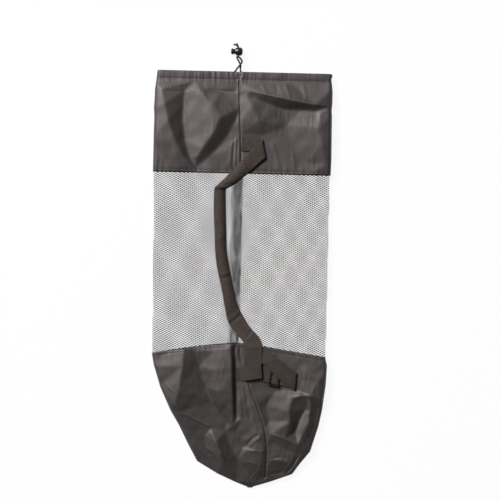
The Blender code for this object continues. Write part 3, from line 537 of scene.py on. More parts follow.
# as the top panel's creases
BOTTOM_CREASES = (
    (2.2, 1.2, 0.4, ((179, 411), (193, 418.4), (206, 425), (214, 428))),
    (1.6, 1.2, 1.0, ((238, 388), (240, 402), (241.4, 419))),
    (1.6, -1.4, 1.0, ((235, 384), (236, 400), (236.6, 420))),
    (2.0, -1.0, 1.0, ((244.6, 384), (247, 402), (251, 424))),
    (1.8, 1.0, 0.5, ((246, 449.6), (255, 451), (264.6, 452.4))),
    (1.8, -1.2, 1.0, ((246, 447), (250, 440), (259, 433.6))),
    (1.8, 1.0, 1.0, ((249, 447), (255, 440.6), (262, 436))),
    (1.6, -1.0, 1.0, ((239, 437), (241.4, 444), (244, 449))),
    (2.0, 1.1, 0.5, ((270, 434), (284, 438.6), (299, 445.6))),
    (1.8, 0.9, 0.5, ((277, 448), (286, 455), (291, 463))),
    (1.8, 1.0, 0.5, ((268, 461), (279, 460.2), (289.6, 463.4))),
    (1.6, -0.9, 1.0, ((272, 457.4), (281, 456.8), (288, 459))),
    (1.5, 1.0, 1.0, ((283, 472.6), (288.6, 466), (294, 457))),
    (1.5, -1.0, 1.0, ((286, 474), (292, 466.6), (298, 456))),
    (1.5, 1.0, 1.0, ((289, 474), (295.4, 465.4), (302, 453))),
    (1.4, 0.8, 1.0, ((268, 471), (276, 470), (285, 468))),
    (1.4, -0.8, 1.0, ((268, 475), (277, 474), (284, 472.4))),
    (1.6, 0.8, 1.0, ((205, 447), (213, 451), (219, 462))),
    (1.6, -0.8, 1.0, ((206, 452), (212, 455), (217, 465))),
    (2.4, 0.9, 0.6, ((207, 428), (213, 438), (221, 452), (226, 468))),
    (1.6, 0.7, 1.0, ((158, 372), (168, 386), (176, 394))),
    (1.6, 0.6, 1.0, ((240, 463), (250, 462), (262, 466))),
    (1.8, 0.7, 1.0, ((248, 482), (256, 473), (263, 462))),
    (2.4, 0.9, 1.0, ((292, 399), (302, 394.6), (318, 396.4))),
    (2.0, 0.8, 1.0, ((308, 409), (305, 421), (301, 434))),
    (2.2, 0.6, 1.0, ((302, 444), (309, 432), (314, 416))),
    (2.0, -0.9, 1.0, ((234.6, 346), (234, 356), (235, 366))),
    (1.8, 0.9, 1.0, ((237.6, 345), (237, 354), (239.4, 364))),
    (1.6, -1.0, 1.0, ((240.6, 345), (239.8, 354), (242, 364))),
    (2.4, 0.5, 1.0, ((206, 350), (207, 366), (209, 384))),
    (2.2, -0.5, 1.0, ((200, 349), (202, 362), (206, 380))),
)


def join_y(x):
    """Height of the arched seam between net and bottom panel."""
    line = [spot(*p) for p in JOIN_PIXELS]
    return np.interp(x, [p[0] for p in line], [p[1] for p in line])


def bottom_plane(y):
    """The pouch's flat front, which comes down towards the tip."""
    share = (CROWN_Y - ARCH - np.asarray(y)) / (CROWN_Y - ARCH - TIP_Y)
    return FRONT_Z * np.interp(share, (0, 0.22, 0.55, 0.82, 1), (1, 0.97, 0.84, 0.72, 0.52))


@functools.cache
def bottom_relief():
    low = (-HALF_WIDTH - MARGIN, TIP_Y - MARGIN)
    high = (HALF_WIDTH + MARGIN, CROWN_Y + CROWN_MARGIN)
    gx, gy = raster(low, high)
    field = bottom_plane(gy) + FOLD_GAIN * soften(facets(gx, gy, BOTTOM_FOLDS), BOTTOM_SOFTNESS)
    for width, height, lip, pixels in BOTTOM_CREASES:
        field += BOTTOM_CREASE_SHARE * crease(gx, gy, pixels, width, height, lip)
    field += cloth_ripples(gx, gy, seed=31) * sizes().wrinkles
    field += seam_puckers(gx, join_y(gx) - gy, seed=34)
    field += sewn_seam(gx, gy, BOTTOM_SEAM_PIXELS, left_lap=0.7, right_lap=0.3, depth=2.0)
    return field, low


# Meshes


def new_piece(name, points, faces, finish, smooth=True):
    mesh = bpy.data.meshes.new(name)
    mesh.from_pydata([tuple(p) for p in points], [], [tuple(f) for f in faces])
    mesh.materials.append(finish)
    if smooth:
        mesh.shade_smooth()
    piece = bpy.data.objects.new(name, mesh)
    bpy.context.scene.collection.objects.link(piece)
    return piece


def bake_map(piece, across, along):
    """Lays the piece out flat for texture baking; across and along are shares for each point."""
    layer = piece.data.uv_layers.new(name="OFBake")
    corner = np.zeros(len(piece.data.loops), int)
    piece.data.loops.foreach_get("vertex_index", corner)
    places = np.stack([np.asarray(across)[corner], np.asarray(along)[corner]], 1)
    layer.uv.foreach_set("vector", (0.01 + 0.98 * places).astype(np.float32).ravel())


def thicken(piece, thickness, offset=-1.0):
    shell = piece.modifiers.new("Cloth thickness", "SOLIDIFY")
    shell.thickness = thickness
    shell.offset = offset
    shell.use_even_offset = False


def edge_round(apart, radius=6 * MM):
    """Share of the bag's lift at a distance from its folded side: a quarter round."""
    share = np.clip(apart / radius, 0, 1)
    return np.sqrt(1 - (1 - share) ** 2)


def column_places(step, extra=()):
    """Places across the bag from -1 to 1, closer at the folded sides and at extra ones."""
    half = HALF_WIDTH
    places = list(np.arange(-half, half + step / 2, step))
    for apart in (0.4, 1.2, 2.4, 4):
        places += [-half + apart * MM, half - apart * MM]
    places += [-half, half]
    for middle in extra:
        places = [p for p in places if abs(p - middle) > 3.2 * MM]
        places += [middle + shift * MM for shift in (-3, -2.1, -1.4, -0.8, -0.25, 0.25, 0.8, 1.4, 2.1, 3)]
    places = sorted(places)
    kept = places[:1]
    for place in places[1:]:
        if place - kept[-1] > 0.35 * MM:
            kept.append(place)
    kept[-1] = half
    return np.array(kept) / half


def ring_faces(rows, count, skip=()):
    """Quads of a tube of point rings; skip holds (row, column) pairs left open."""
    faces = []
    for row in range(rows - 1):
        for step in range(count):
            if (row, step) in skip:
                continue
            a = row * count + step
            b = row * count + (step + 1) % count
            faces.append((a, b, b + count, a + count))
    return faces


def tube_faces(rows, count):
    """Faces of a tube of point rings with both ends closed."""
    ends = [tuple(range(count))[::-1], tuple(range((rows - 1) * count, rows * count))]
    return ring_faces(rows, count) + ends


def face_outwards(mesh, merge=0.0):
    """Turns all faces outwards, after joining points closer together than merge."""
    shape = bmesh.new()
    shape.from_mesh(mesh)
    if merge:
        bmesh.ops.remove_doubles(shape, verts=shape.verts, dist=merge)
    bmesh.ops.recalc_face_normals(shape, faces=shape.faces)
    shape.to_mesh(mesh)
    shape.free()


def weave_places(piece, places):
    """Keeps where each point lies in the flat weave, across and along, for the finish to read."""
    layer = piece.data.attributes.new("weave_place", "FLOAT_VECTOR", "POINT")
    layer.data.foreach_set("vector", np.asarray(places, np.float32).ravel())


def run_lengths(spots):
    """Length along a line of points up to each of them."""
    run = [0.0]
    for a, b in zip(spots, spots[1:]):
        run.append(run[-1] + (b - a).length)
    return run


def panel_columns(extra=()):
    """Places across the front of a panel, then back again across its back."""
    return column_places(FRONT_COLUMN, extra), column_places(BACK_COLUMN)[1:-1][::-1]


def panel_shares(front, back):
    """Shares of the texture's width for one ring of a panel."""
    return list(np.linspace(0, FRONT_SHARE, len(front))) + list(np.linspace(BACK_SHARE, 1, len(back)))


def make_top_panel():
    field, low = top_relief()
    hem = sizes().hem
    seam_x = spot(*CORD_EXIT_PIXEL)[0]
    front, back = panel_columns((seam_x,))
    fold = HEM_FOLD
    seam_y = MOUTH_Y - hem
    body = np.arange(TOP_JOIN_Y, MOUTH_Y - fold - 0.4 * MM, PANEL_ROW)
    rows = [(y, 0.0) for y in body]
    for degrees in (0, 30, 60, 90, 120, 150, 180):
        turn = math.radians(degrees)
        rows.append((MOUTH_Y - fold + fold * math.sin(turn), fold * (1 - math.cos(turn))))
    for share in (0.2, 0.4, 0.6, 0.8, 1.0):
        depth = 2 * fold - share * share * (2 * fold - 0.7 * MM)
        rows.append((MOUTH_Y - fold - share * (hem - fold), depth))
    rows.append((seam_y - 2.5 * MM, 0.9 * MM))
    points, across, along = [], [], []
    for index, (y, depth) in enumerate(rows):
        left, right = float(outline_x(TOP_LEFT, y)) + depth, float(outline_x(TOP_RIGHT, y)) - depth
        half, middle = (right - left) / 2, (right + left) / 2
        flat = x = middle + half * front
        lifted = 0.8 * step_up(y, seam_y, MOUTH_Y) + 0.5 * bell(y, seam_y + SLIT_ABOVE_SEAM, SLIT_HEIGHT)
        parted = np.where(x < seam_x, -HEM_PARTING, HEM_PARTING)
        x = x + parted * lifted * np.exp(-np.abs(x - seam_x) / PARTING_REACH)
        lift = edge_round(half * (1 - np.abs(front)))
        z = EDGE_Z + (sample(field, low, flat, y) - depth - EDGE_Z) * lift
        points += list(zip(x, np.full(x.shape, y), z))
        xb = middle + half * back
        lift = edge_round(half * (1 - np.abs(back)))
        zb = EDGE_Z + (back_level(xb, y) + depth - EDGE_Z) * lift
        points += list(zip(xb, np.full(xb.shape, y), zb))
        across += panel_shares(front, back)
        along += [index / (len(rows) - 1)] * (len(front) + len(back))
    count = len(front) + len(back)
    gap = int(np.searchsorted(front * HALF_WIDTH, seam_x)) - 1
    skip = {(row, gap) for row, (y, depth) in enumerate(rows) if y > seam_y or depth > 0}
    panel = new_piece("top_panel_taffeta", points, ring_faces(len(rows), count, skip), taffeta())
    bake_map(panel, across, along)
    thicken(panel, sizes().cloth)
    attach(panel, "bag")
    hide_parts("top_panel")
    flat = (4 * HALF_WIDTH, MOUTH_Y - TOP_JOIN_Y + hem + HEM_TURN_IN)
    return panel


def back_level(x, y):
    """The back of the bag, lying on the table with shallow waves."""
    waves = ripples(np.asarray(x), np.asarray(y), seed=41, count=10, waves=(24, 70))
    return BACK_Z + 0.25 * MM * (1 + np.clip(waves / 2, -1, 1))


def outline_x(pixels, y):
    line = sorted((spot(*p) for p in pixels), key=lambda p: p[1])
    return np.interp(y, [p[1] for p in line], [p[0] for p in line])


def bottom_point_rows(front, back):
    """Rows of points of the pouch from the seam with the net to the tip, and the lift of each."""
    field, low = bottom_relief()
    tip = spot(*TIP_PIXEL)[1]
    start = float(join_y(spot(*CROWN_PIXEL)[0]))
    rows = []
    for index in range(POUCH_ROWS + 1):
        share = index / POUCH_ROWS
        level = start + (tip - start) * share
        bend = (1 - share) ** 2.6
        edge_left = level - (start - float(join_y(-HALF_WIDTH))) * bend
        edge_right = level - (start - float(join_y(HALF_WIDTH))) * bend
        left = outline_x(BOTTOM_LEFT, edge_left)
        right = outline_x(BOTTOM_RIGHT, edge_right)
        flat = step_up(level, tip, tip + 10 * MM)
        edge = float(bottom_plane(level)) / 2
        ring = []
        for places, side in ((front, 1), (back, -1)):
            x = left + (right - left) * (places + 1) / 2
            y = level + (join_y(x) - start) * bend
            apart = (right - left) / 2 * (1 - np.abs(places))
            lift = edge_round(apart) * math.sqrt(flat)
            height = sample(field, low, x, y) if side > 0 else back_level(x, y) + 0.9 * MM * share
            z = edge + (height - edge) * lift
            ring += list(zip(x, y, z))
        rows.append(ring)
    return rows


def make_bottom_panel():
    front, back = panel_columns()
    rows = bottom_point_rows(front, back)
    count = len(front) + len(back)
    points = [p for ring in rows for p in ring]
    faces = ring_faces(len(rows), count)
    across = panel_shares(front, back) * len(rows)
    along = np.repeat(np.linspace(0, 1, len(rows)), count)
    panel = new_piece("bottom_panel_taffeta", points, faces, taffeta())
    bake_map(panel, across, along)
    face_outwards(panel.data, merge=0.02 * MM)
    thicken(panel, sizes().cloth)
    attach(panel, "bag")
    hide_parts("bottom_panel")
    return panel


def make_base_panel():
    """Round base, folded flat behind the pouch."""
    low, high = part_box("base_panel")
    middle = (low + high) / 2
    radius = (high.x - low.x) / 2
    rings, spokes = 26, 96
    level, swing, most = 0.35, 0.08, 1.5
    points = [(middle.x, middle.y, level * MM)]
    for ring in range(1, rings + 1):
        for spoke in range(spokes):
            turn = 2 * math.pi * spoke / spokes
            reach = radius * ring / rings
            x, y = middle.x + reach * math.cos(turn), middle.y + reach * math.sin(turn)
            wave = float(ripples(np.array(x), np.array(y), seed=51, count=9, waves=(18, 60)))
            points.append((x, y, (level + swing * max(-most, min(most, wave))) * MM))
    faces = [(0, 1 + s, 1 + (s + 1) % spokes) for s in range(spokes)]
    for ring in range(rings - 1):
        for spoke in range(spokes):
            a = 1 + ring * spokes + spoke
            b = 1 + ring * spokes + (spoke + 1) % spokes
            faces.append((a, a + spokes, b + spokes, b))
    base = new_piece("base_panel_taffeta", points, faces, taffeta())
    thicken(base, 0.2 * MM, 0.0)
    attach(base, "bag")
    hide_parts("base_panel")
    return base


# Net


NET_LEFT = ((153.6, 165), (153.4, 190), (152.8, 260), (152.2, 320), (152, 360))
NET_RIGHT = ((330.4, 168), (329.8, 190), (328.6, 240), (327.4, 300), (325.6, 364))

# Pixels of the seam strip's two sides
STRIP_LEFT_PIXEL = (229.6, 268)
STRIP_RIGHT_PIXEL = (240.6, 268)


def from_net_side(x, y):
    return np.minimum(x - outline_x(NET_LEFT, y), outline_x(NET_RIGHT, y) - x)


def net_cell(leg):
    """Corners of one gap from its middle, anticlockwise from the right, in half pitches and metres."""
    return ((1, 0, -leg), (0, 1, leg), (0, 1, -leg), (-1, 0, leg), (0, -1, -leg), (0, -1, leg))


def inset(corners, distances):
    """Corners of a shape whose sides, from each corner to the next, move in by these distances."""
    moved = []
    for index, here in enumerate(corners):
        into = (here - corners[index - 1]).normalized()
        out = (corners[(index + 1) % len(corners)] - here).normalized()
        first, second = Vector((-into.y, into.x)), Vector((-out.y, out.x))
        near, far = distances[index - 1], distances[index]
        turn = first.x * second.y - first.y * second.x
        shift = Vector((near * second.y - far * first.y, far * first.x - near * second.x))
        moved.append(here + shift / turn)
    return moved


def net_layer(name, cell, strand, knot, reach, warp, keep, level, leg=0.5 * MM):
    """Strands round staggered gaps. The warp sets a flat point in place, keep says which gaps stay and
    level gives the height."""
    half_x, half_y = cell[0] / 2, cell[1] / 2
    corners = [Vector((a * half_x + shift, b * half_y)) for a, b, shift in net_cell(leg)]
    inner = inset(corners, [half / 2 for half in (strand, knot, strand, strand, knot, strand)])
    columns = int(reach[0] / half_x) + 2
    rows = int(reach[1] / half_y) + 2
    flat, faces, shared = [], [], {}
    ridge = []
    for row in range(-rows, rows + 1):
        for column in range(-columns, columns + 1):
            if (row + column) % 2:
                continue
            middle = (column * half_x, row * half_y)
            if not keep(*warp(*middle)):
                continue
            tops, feet, holes = [], [], []
            for (a, b, shift), corner, hole in zip(net_cell(leg), corners, inner):
                key = (column + a, row + b, shift > 0)
                if key not in shared:
                    shared[key] = len(flat)
                    place = (middle[0] + corner.x, middle[1] + corner.y)
                    flat += [place, place]
                    ridge += [1, -1]
                tops.append(shared[key])
                feet.append(shared[key] + 1)
                holes.append(len(flat))
                flat.append((middle[0] + hole.x, middle[1] + hole.y))
                ridge.append(0)
            for k in range(6):
                n = (k + 1) % 6
                faces.append((tops[k], tops[n], holes[n], holes[k]))
                faces.append((holes[k], holes[n], feet[n], feet[k]))
    places = np.array([warp(*p) for p in flat])
    y = places[:, 1]
    x = np.clip(places[:, 0], outline_x(NET_LEFT, y), outline_x(NET_RIGHT, y))
    half = HALF_WIDTH
    z = level(x, y) + 0.4 * strand * np.array(ridge)
    piece = new_piece(name, list(zip(x, y, z)), faces, net_finish())
    bake_map(piece, (x + half) / (2 * half), (y - y.min()) / np.ptp(y))
    return piece


def net_warp(left_turn, right_turn):
    """A warp that turns the net by these degrees at the bag's left and right side."""
    middle = math.radians(left_turn + right_turn) / 2
    change = math.radians(right_turn - left_turn) / 2
    centre = (TOP_JOIN_Y + CROWN_Y) / 2

    def warp(p, q):
        share = p / HALF_WIDTH
        turn = middle + change * share
        rise = middle * p + change * share * p / 2
        return p - q * turn, q + rise + centre

    return warp


FRONT_WARP = net_warp(2.4, 2.85)
BACK_WARP = net_warp(0.0, -3.8)


def in_net(x, y):
    return from_net_side(x, y) > 0 and float(join_y(x)) - 9 * MM < y < TOP_JOIN_Y + 9 * MM


def front_net_level(x, y):
    lift = edge_round(from_net_side(x, y))
    waves = ripples(x, y, seed=61, count=8, waves=(70, 160))
    sewn = bell(y, TOP_JOIN_Y, 12 * MM) + bell(y, join_y(x), 12 * MM)
    return EDGE_Z + (FRONT_NET_Z + 0.3 * MM * waves + 1.1 * MM * sewn - EDGE_Z) * lift


def back_net_level(x, y):
    lift = edge_round(from_net_side(x, y))
    return EDGE_Z + (back_level(x, y) + 0.7 * MM - EDGE_Z) * lift


def make_net():
    cell = (sizes().net_across, sizes().net_along)
    strand = sizes().net_strand
    reach = (HALF_WIDTH + 16 * MM, (TOP_JOIN_Y - CROWN_Y) / 2 + 50 * MM)
    knot = sizes().net_knot
    front = net_layer("net_front", cell, strand, knot, reach, FRONT_WARP, in_net, front_net_level,
                      FRONT_NET_LEG)
    back = net_layer("net_back", cell, BACK_STRAND_SHARE * strand, BACK_KNOT_SHARE * knot, reach, BACK_WARP,
                     in_net, back_net_level)
    for layer, closed in ((front, FRONT_CLOSED), (back, BACK_CLOSED)):
        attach(layer, "bag")
    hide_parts("mesh_body")
    return front, back


def make_seam_strip():
    """Seam allowance of the net: narrow layers of net lying close together behind the front."""
    low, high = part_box("mesh_seam_strip")
    left, right = spot(*STRIP_LEFT_PIXEL)[0], spot(*STRIP_RIGHT_PIXEL)[0]
    strand = 1.25 * sizes().net_strand
    cell = (0.62 * sizes().net_across, 0.96 * sizes().net_along)
    reach = (30 * MM, (high.y - low.y) / 2 + 20 * MM)
    strips = []
    for index, (turn, drop, narrower) in enumerate(STRIP_LAYERS):
        warp_net = net_warp(turn, turn)
        from_x = left + narrower * MM

        def warp(p, q, warp_net=warp_net):
            x, y = warp_net(p, q)
            return x + (left + right) / 2, y

        def keep(x, y, from_x=from_x):
            return from_x < x < right and in_net(x, y)

        def level(x, y, drop=drop):
            return front_net_level(x, y) - drop * MM

        strip = net_layer(f"net_seam_layer_{index + 1}", cell, strand, 1.6 * strand, reach, warp, keep,
                          level, STRIP_NET_LEG)
        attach(strip, "bag")
        strips.append(strip)
    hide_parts("mesh_seam_strip")
    return strips


# Webbing


def between(points, counts):
    """A smooth curve through route points, with a set number of steps between each two."""
    spots = [Vector(p) for p in points]
    ends = [2 * spots[0] - spots[1], *spots, 2 * spots[-1] - spots[-2]]
    path = []
    for before, start, stop, after, count in zip(ends, ends[1:], ends[2:], ends[3:], counts):
        lead = start + (stop - before) / 6
        trail = stop - (after - start) / 6
        path += interpolate_bezier(start, lead, trail, stop, count + 1)[:-1]
    return path + [spots[-1]]


def through(points, step):
    """The same, sampled about every step."""
    spots = [Vector(p) for p in points]
    return between(spots, [max(2, round((b - a).length / step)) for a, b in zip(spots, spots[1:])])


# Pixel and height in mm of the strap's first edge, then of its other edge, from the sewn end to the tab
STRAP_STATIONS = (
    (241.6, 136.4, 15.4, 241.4, 151.4, 15.4),
    (247.4, 135.8, 15.5, 248, 151.8, 15.4),
    (253.4, 135.6, 15.8, 255.6, 153, 15.4),
    (258.4, 136.6, 16.4, 261.8, 155, 15.8),
    (261.6, 138.6, 17.4, 264.8, 156.6, 16.8),
    (262.2, 141.2, 18.6, 265.4, 158, 18),
    (259.6, 144.2, 19.4, 263.6, 159.6, 18.8),
    (253.8, 148.8, 19.2, 259.6, 162.8, 18.6),
    (246.8, 155, 18.2, 253.8, 168.2, 17.4),
    (239.6, 162.8, 16.8, 247.6, 174, 16),
    (232.4, 170.6, 15.7, 241.4, 179.4, 15.4),
    (224.6, 178.6, 15.2, 234.6, 184.6, 15.2),
    (217.8, 184.6, 16.2, 229.6, 187, 16),
    (214.8, 187.6, 16.8, 227.4, 188.2, 16.2),
    (214.2, 190.6, 14.6, 226, 191, 14.4),
    (213.8, 202, 14, 226, 202, 13.6),
    (213.8, 215, 14, 226.2, 215, 13.6),
    (214.6, 232, 14.2, 226.6, 232, 13.6),
    (215, 250, 14.2, 227, 250, 13.6),
    (216.8, 266, 14, 229.6, 266, 13.6),
    (219.4, 279, 14, 231.8, 278.6, 13.6),
    (222, 291, 14, 234.4, 290.4, 13.6),
    (224, 303, 14, 236.8, 302, 13.8),
    (226, 314, 14, 241, 312, 14.2),
    (228, 322, 14, 245.4, 319.6, 14.8),
    (232.8, 329.4, 14.4, 249, 325.6, 15.6),
    (238, 335.4, 15.6, 253.2, 330.6, 16.8),
    (242.6, 341, 17.2, 258.4, 336.2, 18),
    (244.8, 347, 18.4, 262, 343.4, 19.1),
    (244.6, 354, 18.3, 262.4, 352.6, 19),
    (244.2, 361, 17.9, 261.8, 360.6, 18.6),
    (244.6, 364.8, 17.5, 262.4, 379.6, 17.7),
    (245.6, 365.6, 16.5, 263, 381, 16.8),
    (250, 365.6, 15.8, 263.6, 381.4, 16.2),
    (263.5, 366.6, 16.3, 261.5, 381.4, 16.3),
    (275.5, 369.1, 16.5, 272.5, 383.7, 16.5),
    (287.5, 371.6, 16.4, 284.5, 386.2, 16.4),
    (294, 373, 16.4, 291, 388.4, 16.4),
    (296.4, 373, 17, 293.8, 390.4, 16.8),
    (297, 372.8, 18.2, 294.6, 390.2, 17.8),
    (295.2, 371.6, 19.4, 292.2, 387.8, 18.9),
    (288, 366, 20, 282.4, 381, 19.7),
    (280, 359.8, 20.5, 274, 374.2, 20.3),
    (272.6, 354, 20.2, 267.4, 366.8, 20),
    (266.6, 349.3, 18.2, 259.6, 361, 17.6),
    (261.6, 345.6, 16.6, 254, 357, 16),
    (254, 341, 15.7, 246.4, 352.6, 15.6),
)

CREASE_GAIN = 2.2

# width and height in mm, then the pixels
STRAP_CREASES = (
    (1.6, 1.1, ((213, 187.4), (221, 187.2), (229, 188.4))),
    (2.2, -1.0, ((214, 183.4), (222, 184.4), (230, 185))),
    (1.1, 0.9, ((215, 217), (221, 223), (228, 229.4))),
    (1.1, 0.8, ((228, 229.4), (222, 236), (216, 241.6))),
    (1.8, -0.8, ((215, 223), (219, 228), (217, 236))),
    (1.2, 0.8, ((216, 273.4), (223, 274.4), (231, 272))),
    (1.6, -0.7, ((217, 277.6), (224, 278), (232, 275.6))),
    (1.2, 0.8, ((227, 322.4), (233, 317), (242, 308))),
    (1.6, -0.8, ((229, 325), (236, 319), (244, 313))),
    (1.2, -0.9, ((246.4, 338), (249, 333.4), (252.4, 329.6))),
    (1.2, 0.7, ((248.6, 339.6), (251.6, 335.4), (255, 331.6))),
    (1.2, 0.7, ((226, 178), (232, 181), (238, 184))),
    (1.4, 0.6, ((240, 160), (246, 168), (250, 173))),
    (1.4, 0.6, ((246, 345), (254, 348), (262, 346))),
)

TAB_STATIONS = (
    (234.4, 367.4, 13.4, 236.2, 381.8, 13.2),
    (239, 366.8, 14.4, 240.8, 381.2, 14.2),
    (243, 366.2, 17.6, 244.8, 380.6, 17.2),
    (246.4, 365.8, 20.2, 248, 380.2, 20),
    (253, 365, 20.8, 254.6, 379.2, 20.8),
    (258.6, 364.3, 20.7, 259.8, 378.4, 20.7),
    (261.2, 364, 20.2, 262.2, 378, 20.2),
)


# Places across the webbing, closer at the selvedges, and the share of its width that each selvedge takes
WEBBING_PLACES = (0, 0.012, 0.035, 0.07, 0.13, 0.22, 0.32, 0.42, 0.5, 0.58, 0.68, 0.78, 0.87, 0.93, 0.965,
                  0.988, 1)
SELVEDGE = 0.05

# Share of the full arch, and the pixels that it starts and ends at
ARCH_SHARE = 0.9
ARCH_START_PIXEL = (250, 336)
ARCH_FULL_PIXEL = (250, 322)


def station_rulings(stations, step):
    """Edge pairs along a strip given by its stations."""
    first = [Vector((*spot(a, b), c * MM)) for a, b, c, _, _, _ in stations]
    other = [Vector((*spot(a, b), c * MM)) for _, _, _, a, b, c in stations]
    middle = [(a + b) / 2 for a, b in zip(first, other)]
    counts = [max(2, round((b - a).length / step)) for a, b in zip(middle, middle[1:])]
    return list(zip(between(first, counts), between(other, counts)))


def make_webbing(name, rulings, creases, arch=True):
    """A strip of webbing with round selvedges. Where its edges come close together it arches up."""
    width, thickness = sizes().webbing, sizes().webbing_thickness
    places = np.array(WEBBING_PLACES)
    first = np.array([tuple(a) for a, _ in rulings])
    other = np.array([tuple(b) for _, b in rulings])
    grid = first[:, None] + (other - first)[:, None] * places[None, :, None]
    chord = np.linalg.norm(other - first, axis=1)
    if arch:
        rise = np.sqrt(3 * chord * np.clip(width - chord, 0, None) / 8)
        rise = np.convolve(np.pad(rise, 4, mode="edge"), np.ones(9) / 9, mode="valid")
        rise *= step_up((first + other)[:, 1] / 2, spot(*ARCH_START_PIXEL)[1],
                        spot(*ARCH_FULL_PIXEL)[1])
        grid[:, :, 2] += ARCH_SHARE * rise[:, None] * 4 * (places * (1 - places))[None, :]
    for wide, high, pixels in creases:
        grid[:, :, 2] += crease(grid[:, :, 0], grid[:, :, 1], pixels, wide, CREASE_GAIN * high)
    along = np.gradient(grid, axis=0)
    across = np.gradient(grid, axis=1)
    normal = np.cross(along, across)
    normal /= np.maximum(np.linalg.norm(normal, axis=2, keepdims=True), 1e-12)
    edge = np.minimum(places, 1 - places) / SELVEDGE
    body = thickness / 2 * np.sqrt(1 - (1 - np.clip(edge, 0, 1)) ** 2)
    upper = grid + normal * body[None, :, None]
    lower = grid - normal * body[None, :, None]
    rings = np.concatenate([upper, lower[:, ::-1][:, 1:-1]], axis=1)
    rows, count = rings.shape[:2]
    faces = tube_faces(rows, count)
    strip = new_piece(name, rings.reshape(-1, 3), faces, webbing_finish())
    middle = grid[:, len(places) // 2]
    run = np.concatenate([[0], np.cumsum(np.linalg.norm(np.diff(middle, axis=0), axis=1))])
    around = np.concatenate([places, places[::-1][1:-1]])
    weave = np.zeros((rows, count, 3), np.float32)
    weave[:, :, 0] = around[None, :] * width
    weave[:, :, 1] = run[:, None]
    weave_places(strip, weave)
    side = np.concatenate([0.48 * places, 0.52 + 0.48 * (1 - places[::-1][1:-1])])
    bake_map(strip, np.tile(side, rows), np.repeat(run / run[-1], count))
    face_outwards(strip.data)
    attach(strip, "bag")
    return strip, run[-1]


def make_strap():
    rulings = station_rulings(STRAP_STATIONS, 2 * MM)
    strap, length = make_webbing("shoulder_strap_webbing", rulings, STRAP_CREASES)
    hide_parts("shoulder_strap")
    rulings = station_rulings(TAB_STATIONS, 1.6 * MM)
    tab, length = make_webbing("anchor_tab_webbing", rulings, (), arch=False)
    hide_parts("anchor_tab")
    return strap, tab


# Ends of the strap's lower layer, which the slider runs along
STRAP_TURN = Vector((24.5 * MM, CROWN_Y - 50 * MM))
STRAP_BIGHT = Vector((98 * MM, CROWN_Y - 62 * MM))


def make_slider():
    """Three-bar adjuster with rounded bars: the middle bar under the webbing, the outer ones over it."""
    along = (STRAP_BIGHT - STRAP_TURN).normalized()
    low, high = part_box("strap_slider")
    centre = (low + high) / 2
    inner = sizes().webbing / 2 + 0.5 * MM
    outer = inner + 2.4 * MM
    half, bar, thick, gap = 9 * MM, 3.4 * MM, 1.2 * MM, 1 * MM
    bars = (
        ((-half, -outer, -gap - thick), (half, -inner, gap + thick)),
        ((-half, inner, -gap - thick), (half, outer, gap + thick)),
        ((-bar / 2, -outer, -gap - thick), (bar / 2, outer, -gap)),
        ((-half, -outer, gap), (-half + bar, outer, gap + thick)),
        ((half - bar, -outer, gap), (half, outer, gap + thick)),
    )
    slider = None
    for low, high in bars:
        other = block("bar", low, high)
        slider = other if slider is None else boolean(slider, other, "UNION")
    edges = slider.modifiers.new("Rounded edges", "BEVEL")
    edges.width = 0.5 * MM
    edges.segments = 3
    edges.limit_method = "ANGLE"
    slider.data = flattened(slider)
    slider.modifiers.clear()
    slider.name = "strap_slider_plastic"
    slider.data.materials.clear()
    slider.data.materials.append(plastic())
    slider.data.shade_smooth()
    slider.data.set_sharp_from_angle(angle=math.radians(40))
    slider.location = centre
    slider.rotation_euler = (0, 0, math.atan2(along.y, along.x))
    bpy.context.view_layer.update()
    slider.data.transform(slider.matrix_world)
    slider.location = (0, 0, 0)
    slider.rotation_euler = (0, 0, 0)
    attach(slider, "slider")
    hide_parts("strap_slider")
    return slider


def block(name, low, high):
    """A block between two corners, to be joined with another piece or cut out of it."""
    shape = bmesh.new()
    bmesh.ops.create_cube(shape, size=1)
    for vert in shape.verts:
        vert.co = [a + (b - a) * (c + 0.5) for a, b, c in zip(low, high, vert.co)]
    mesh = bpy.data.meshes.new(name)
    shape.to_mesh(mesh)
    shape.free()
    made = bpy.data.objects.new(name, mesh)
    bpy.context.scene.collection.objects.link(made)
    return made


def flattened(piece):
    """The piece's mesh with its modifiers applied."""
    bpy.context.view_layer.update()
    return bpy.data.meshes.new_from_object(piece.evaluated_get(bpy.context.evaluated_depsgraph_get()))


def boolean(piece, other, operation):
    """The piece joined with or cut by another, which is used up."""
    joint = piece.modifiers.new("Join", "BOOLEAN")
    joint.operation = operation
    joint.object = other
    whole = flattened(piece)
    piece.modifiers.clear()
    piece.data = whole
    bpy.data.objects.remove(other)
    return piece


# Drawcord and its lock

# Routes of the two strands from the hem to their tails, in mm
LEFT_STRAND = (
    (-24.5, 346.5, 11.7), (-22.1, 346.5, 11.7), (-18.5, 348.9, 11.7), (-13, 356.5, 10.9),
    (-8.4, 362.7, 10.2),
    (-6, 367.5, 9.4), (-8.7, 372.8, 8.8), (-12.7, 375.9, 8.7), (-13.2, 377.8, 8.7), (-13.2, 384.5, 8.7),
    (-13.2, 391.7, 8.7), (-13.8, 393.7, 8.3), (-17.2, 395.7, 7.6), (-21.2, 396.3, 6.6),
)
RIGHT_STRAND = (
    (0.5, 346.5, 11.7), (-1.9, 346.5, 11.7), (-6.8, 349.1, 11.5), (-8.4, 354.5, 9.5), (-8.4, 361.5, 7.4),
    (-11.5, 368.5, 6.5), (-14.6, 374.3, 5.7), (-13.2, 377.8, 5.7), (-13.2, 384.5, 5.7), (-13.2, 391.7, 5.7),
    (-13.7, 393.7, 5.7), (-15.6, 398.7, 5.0),
)


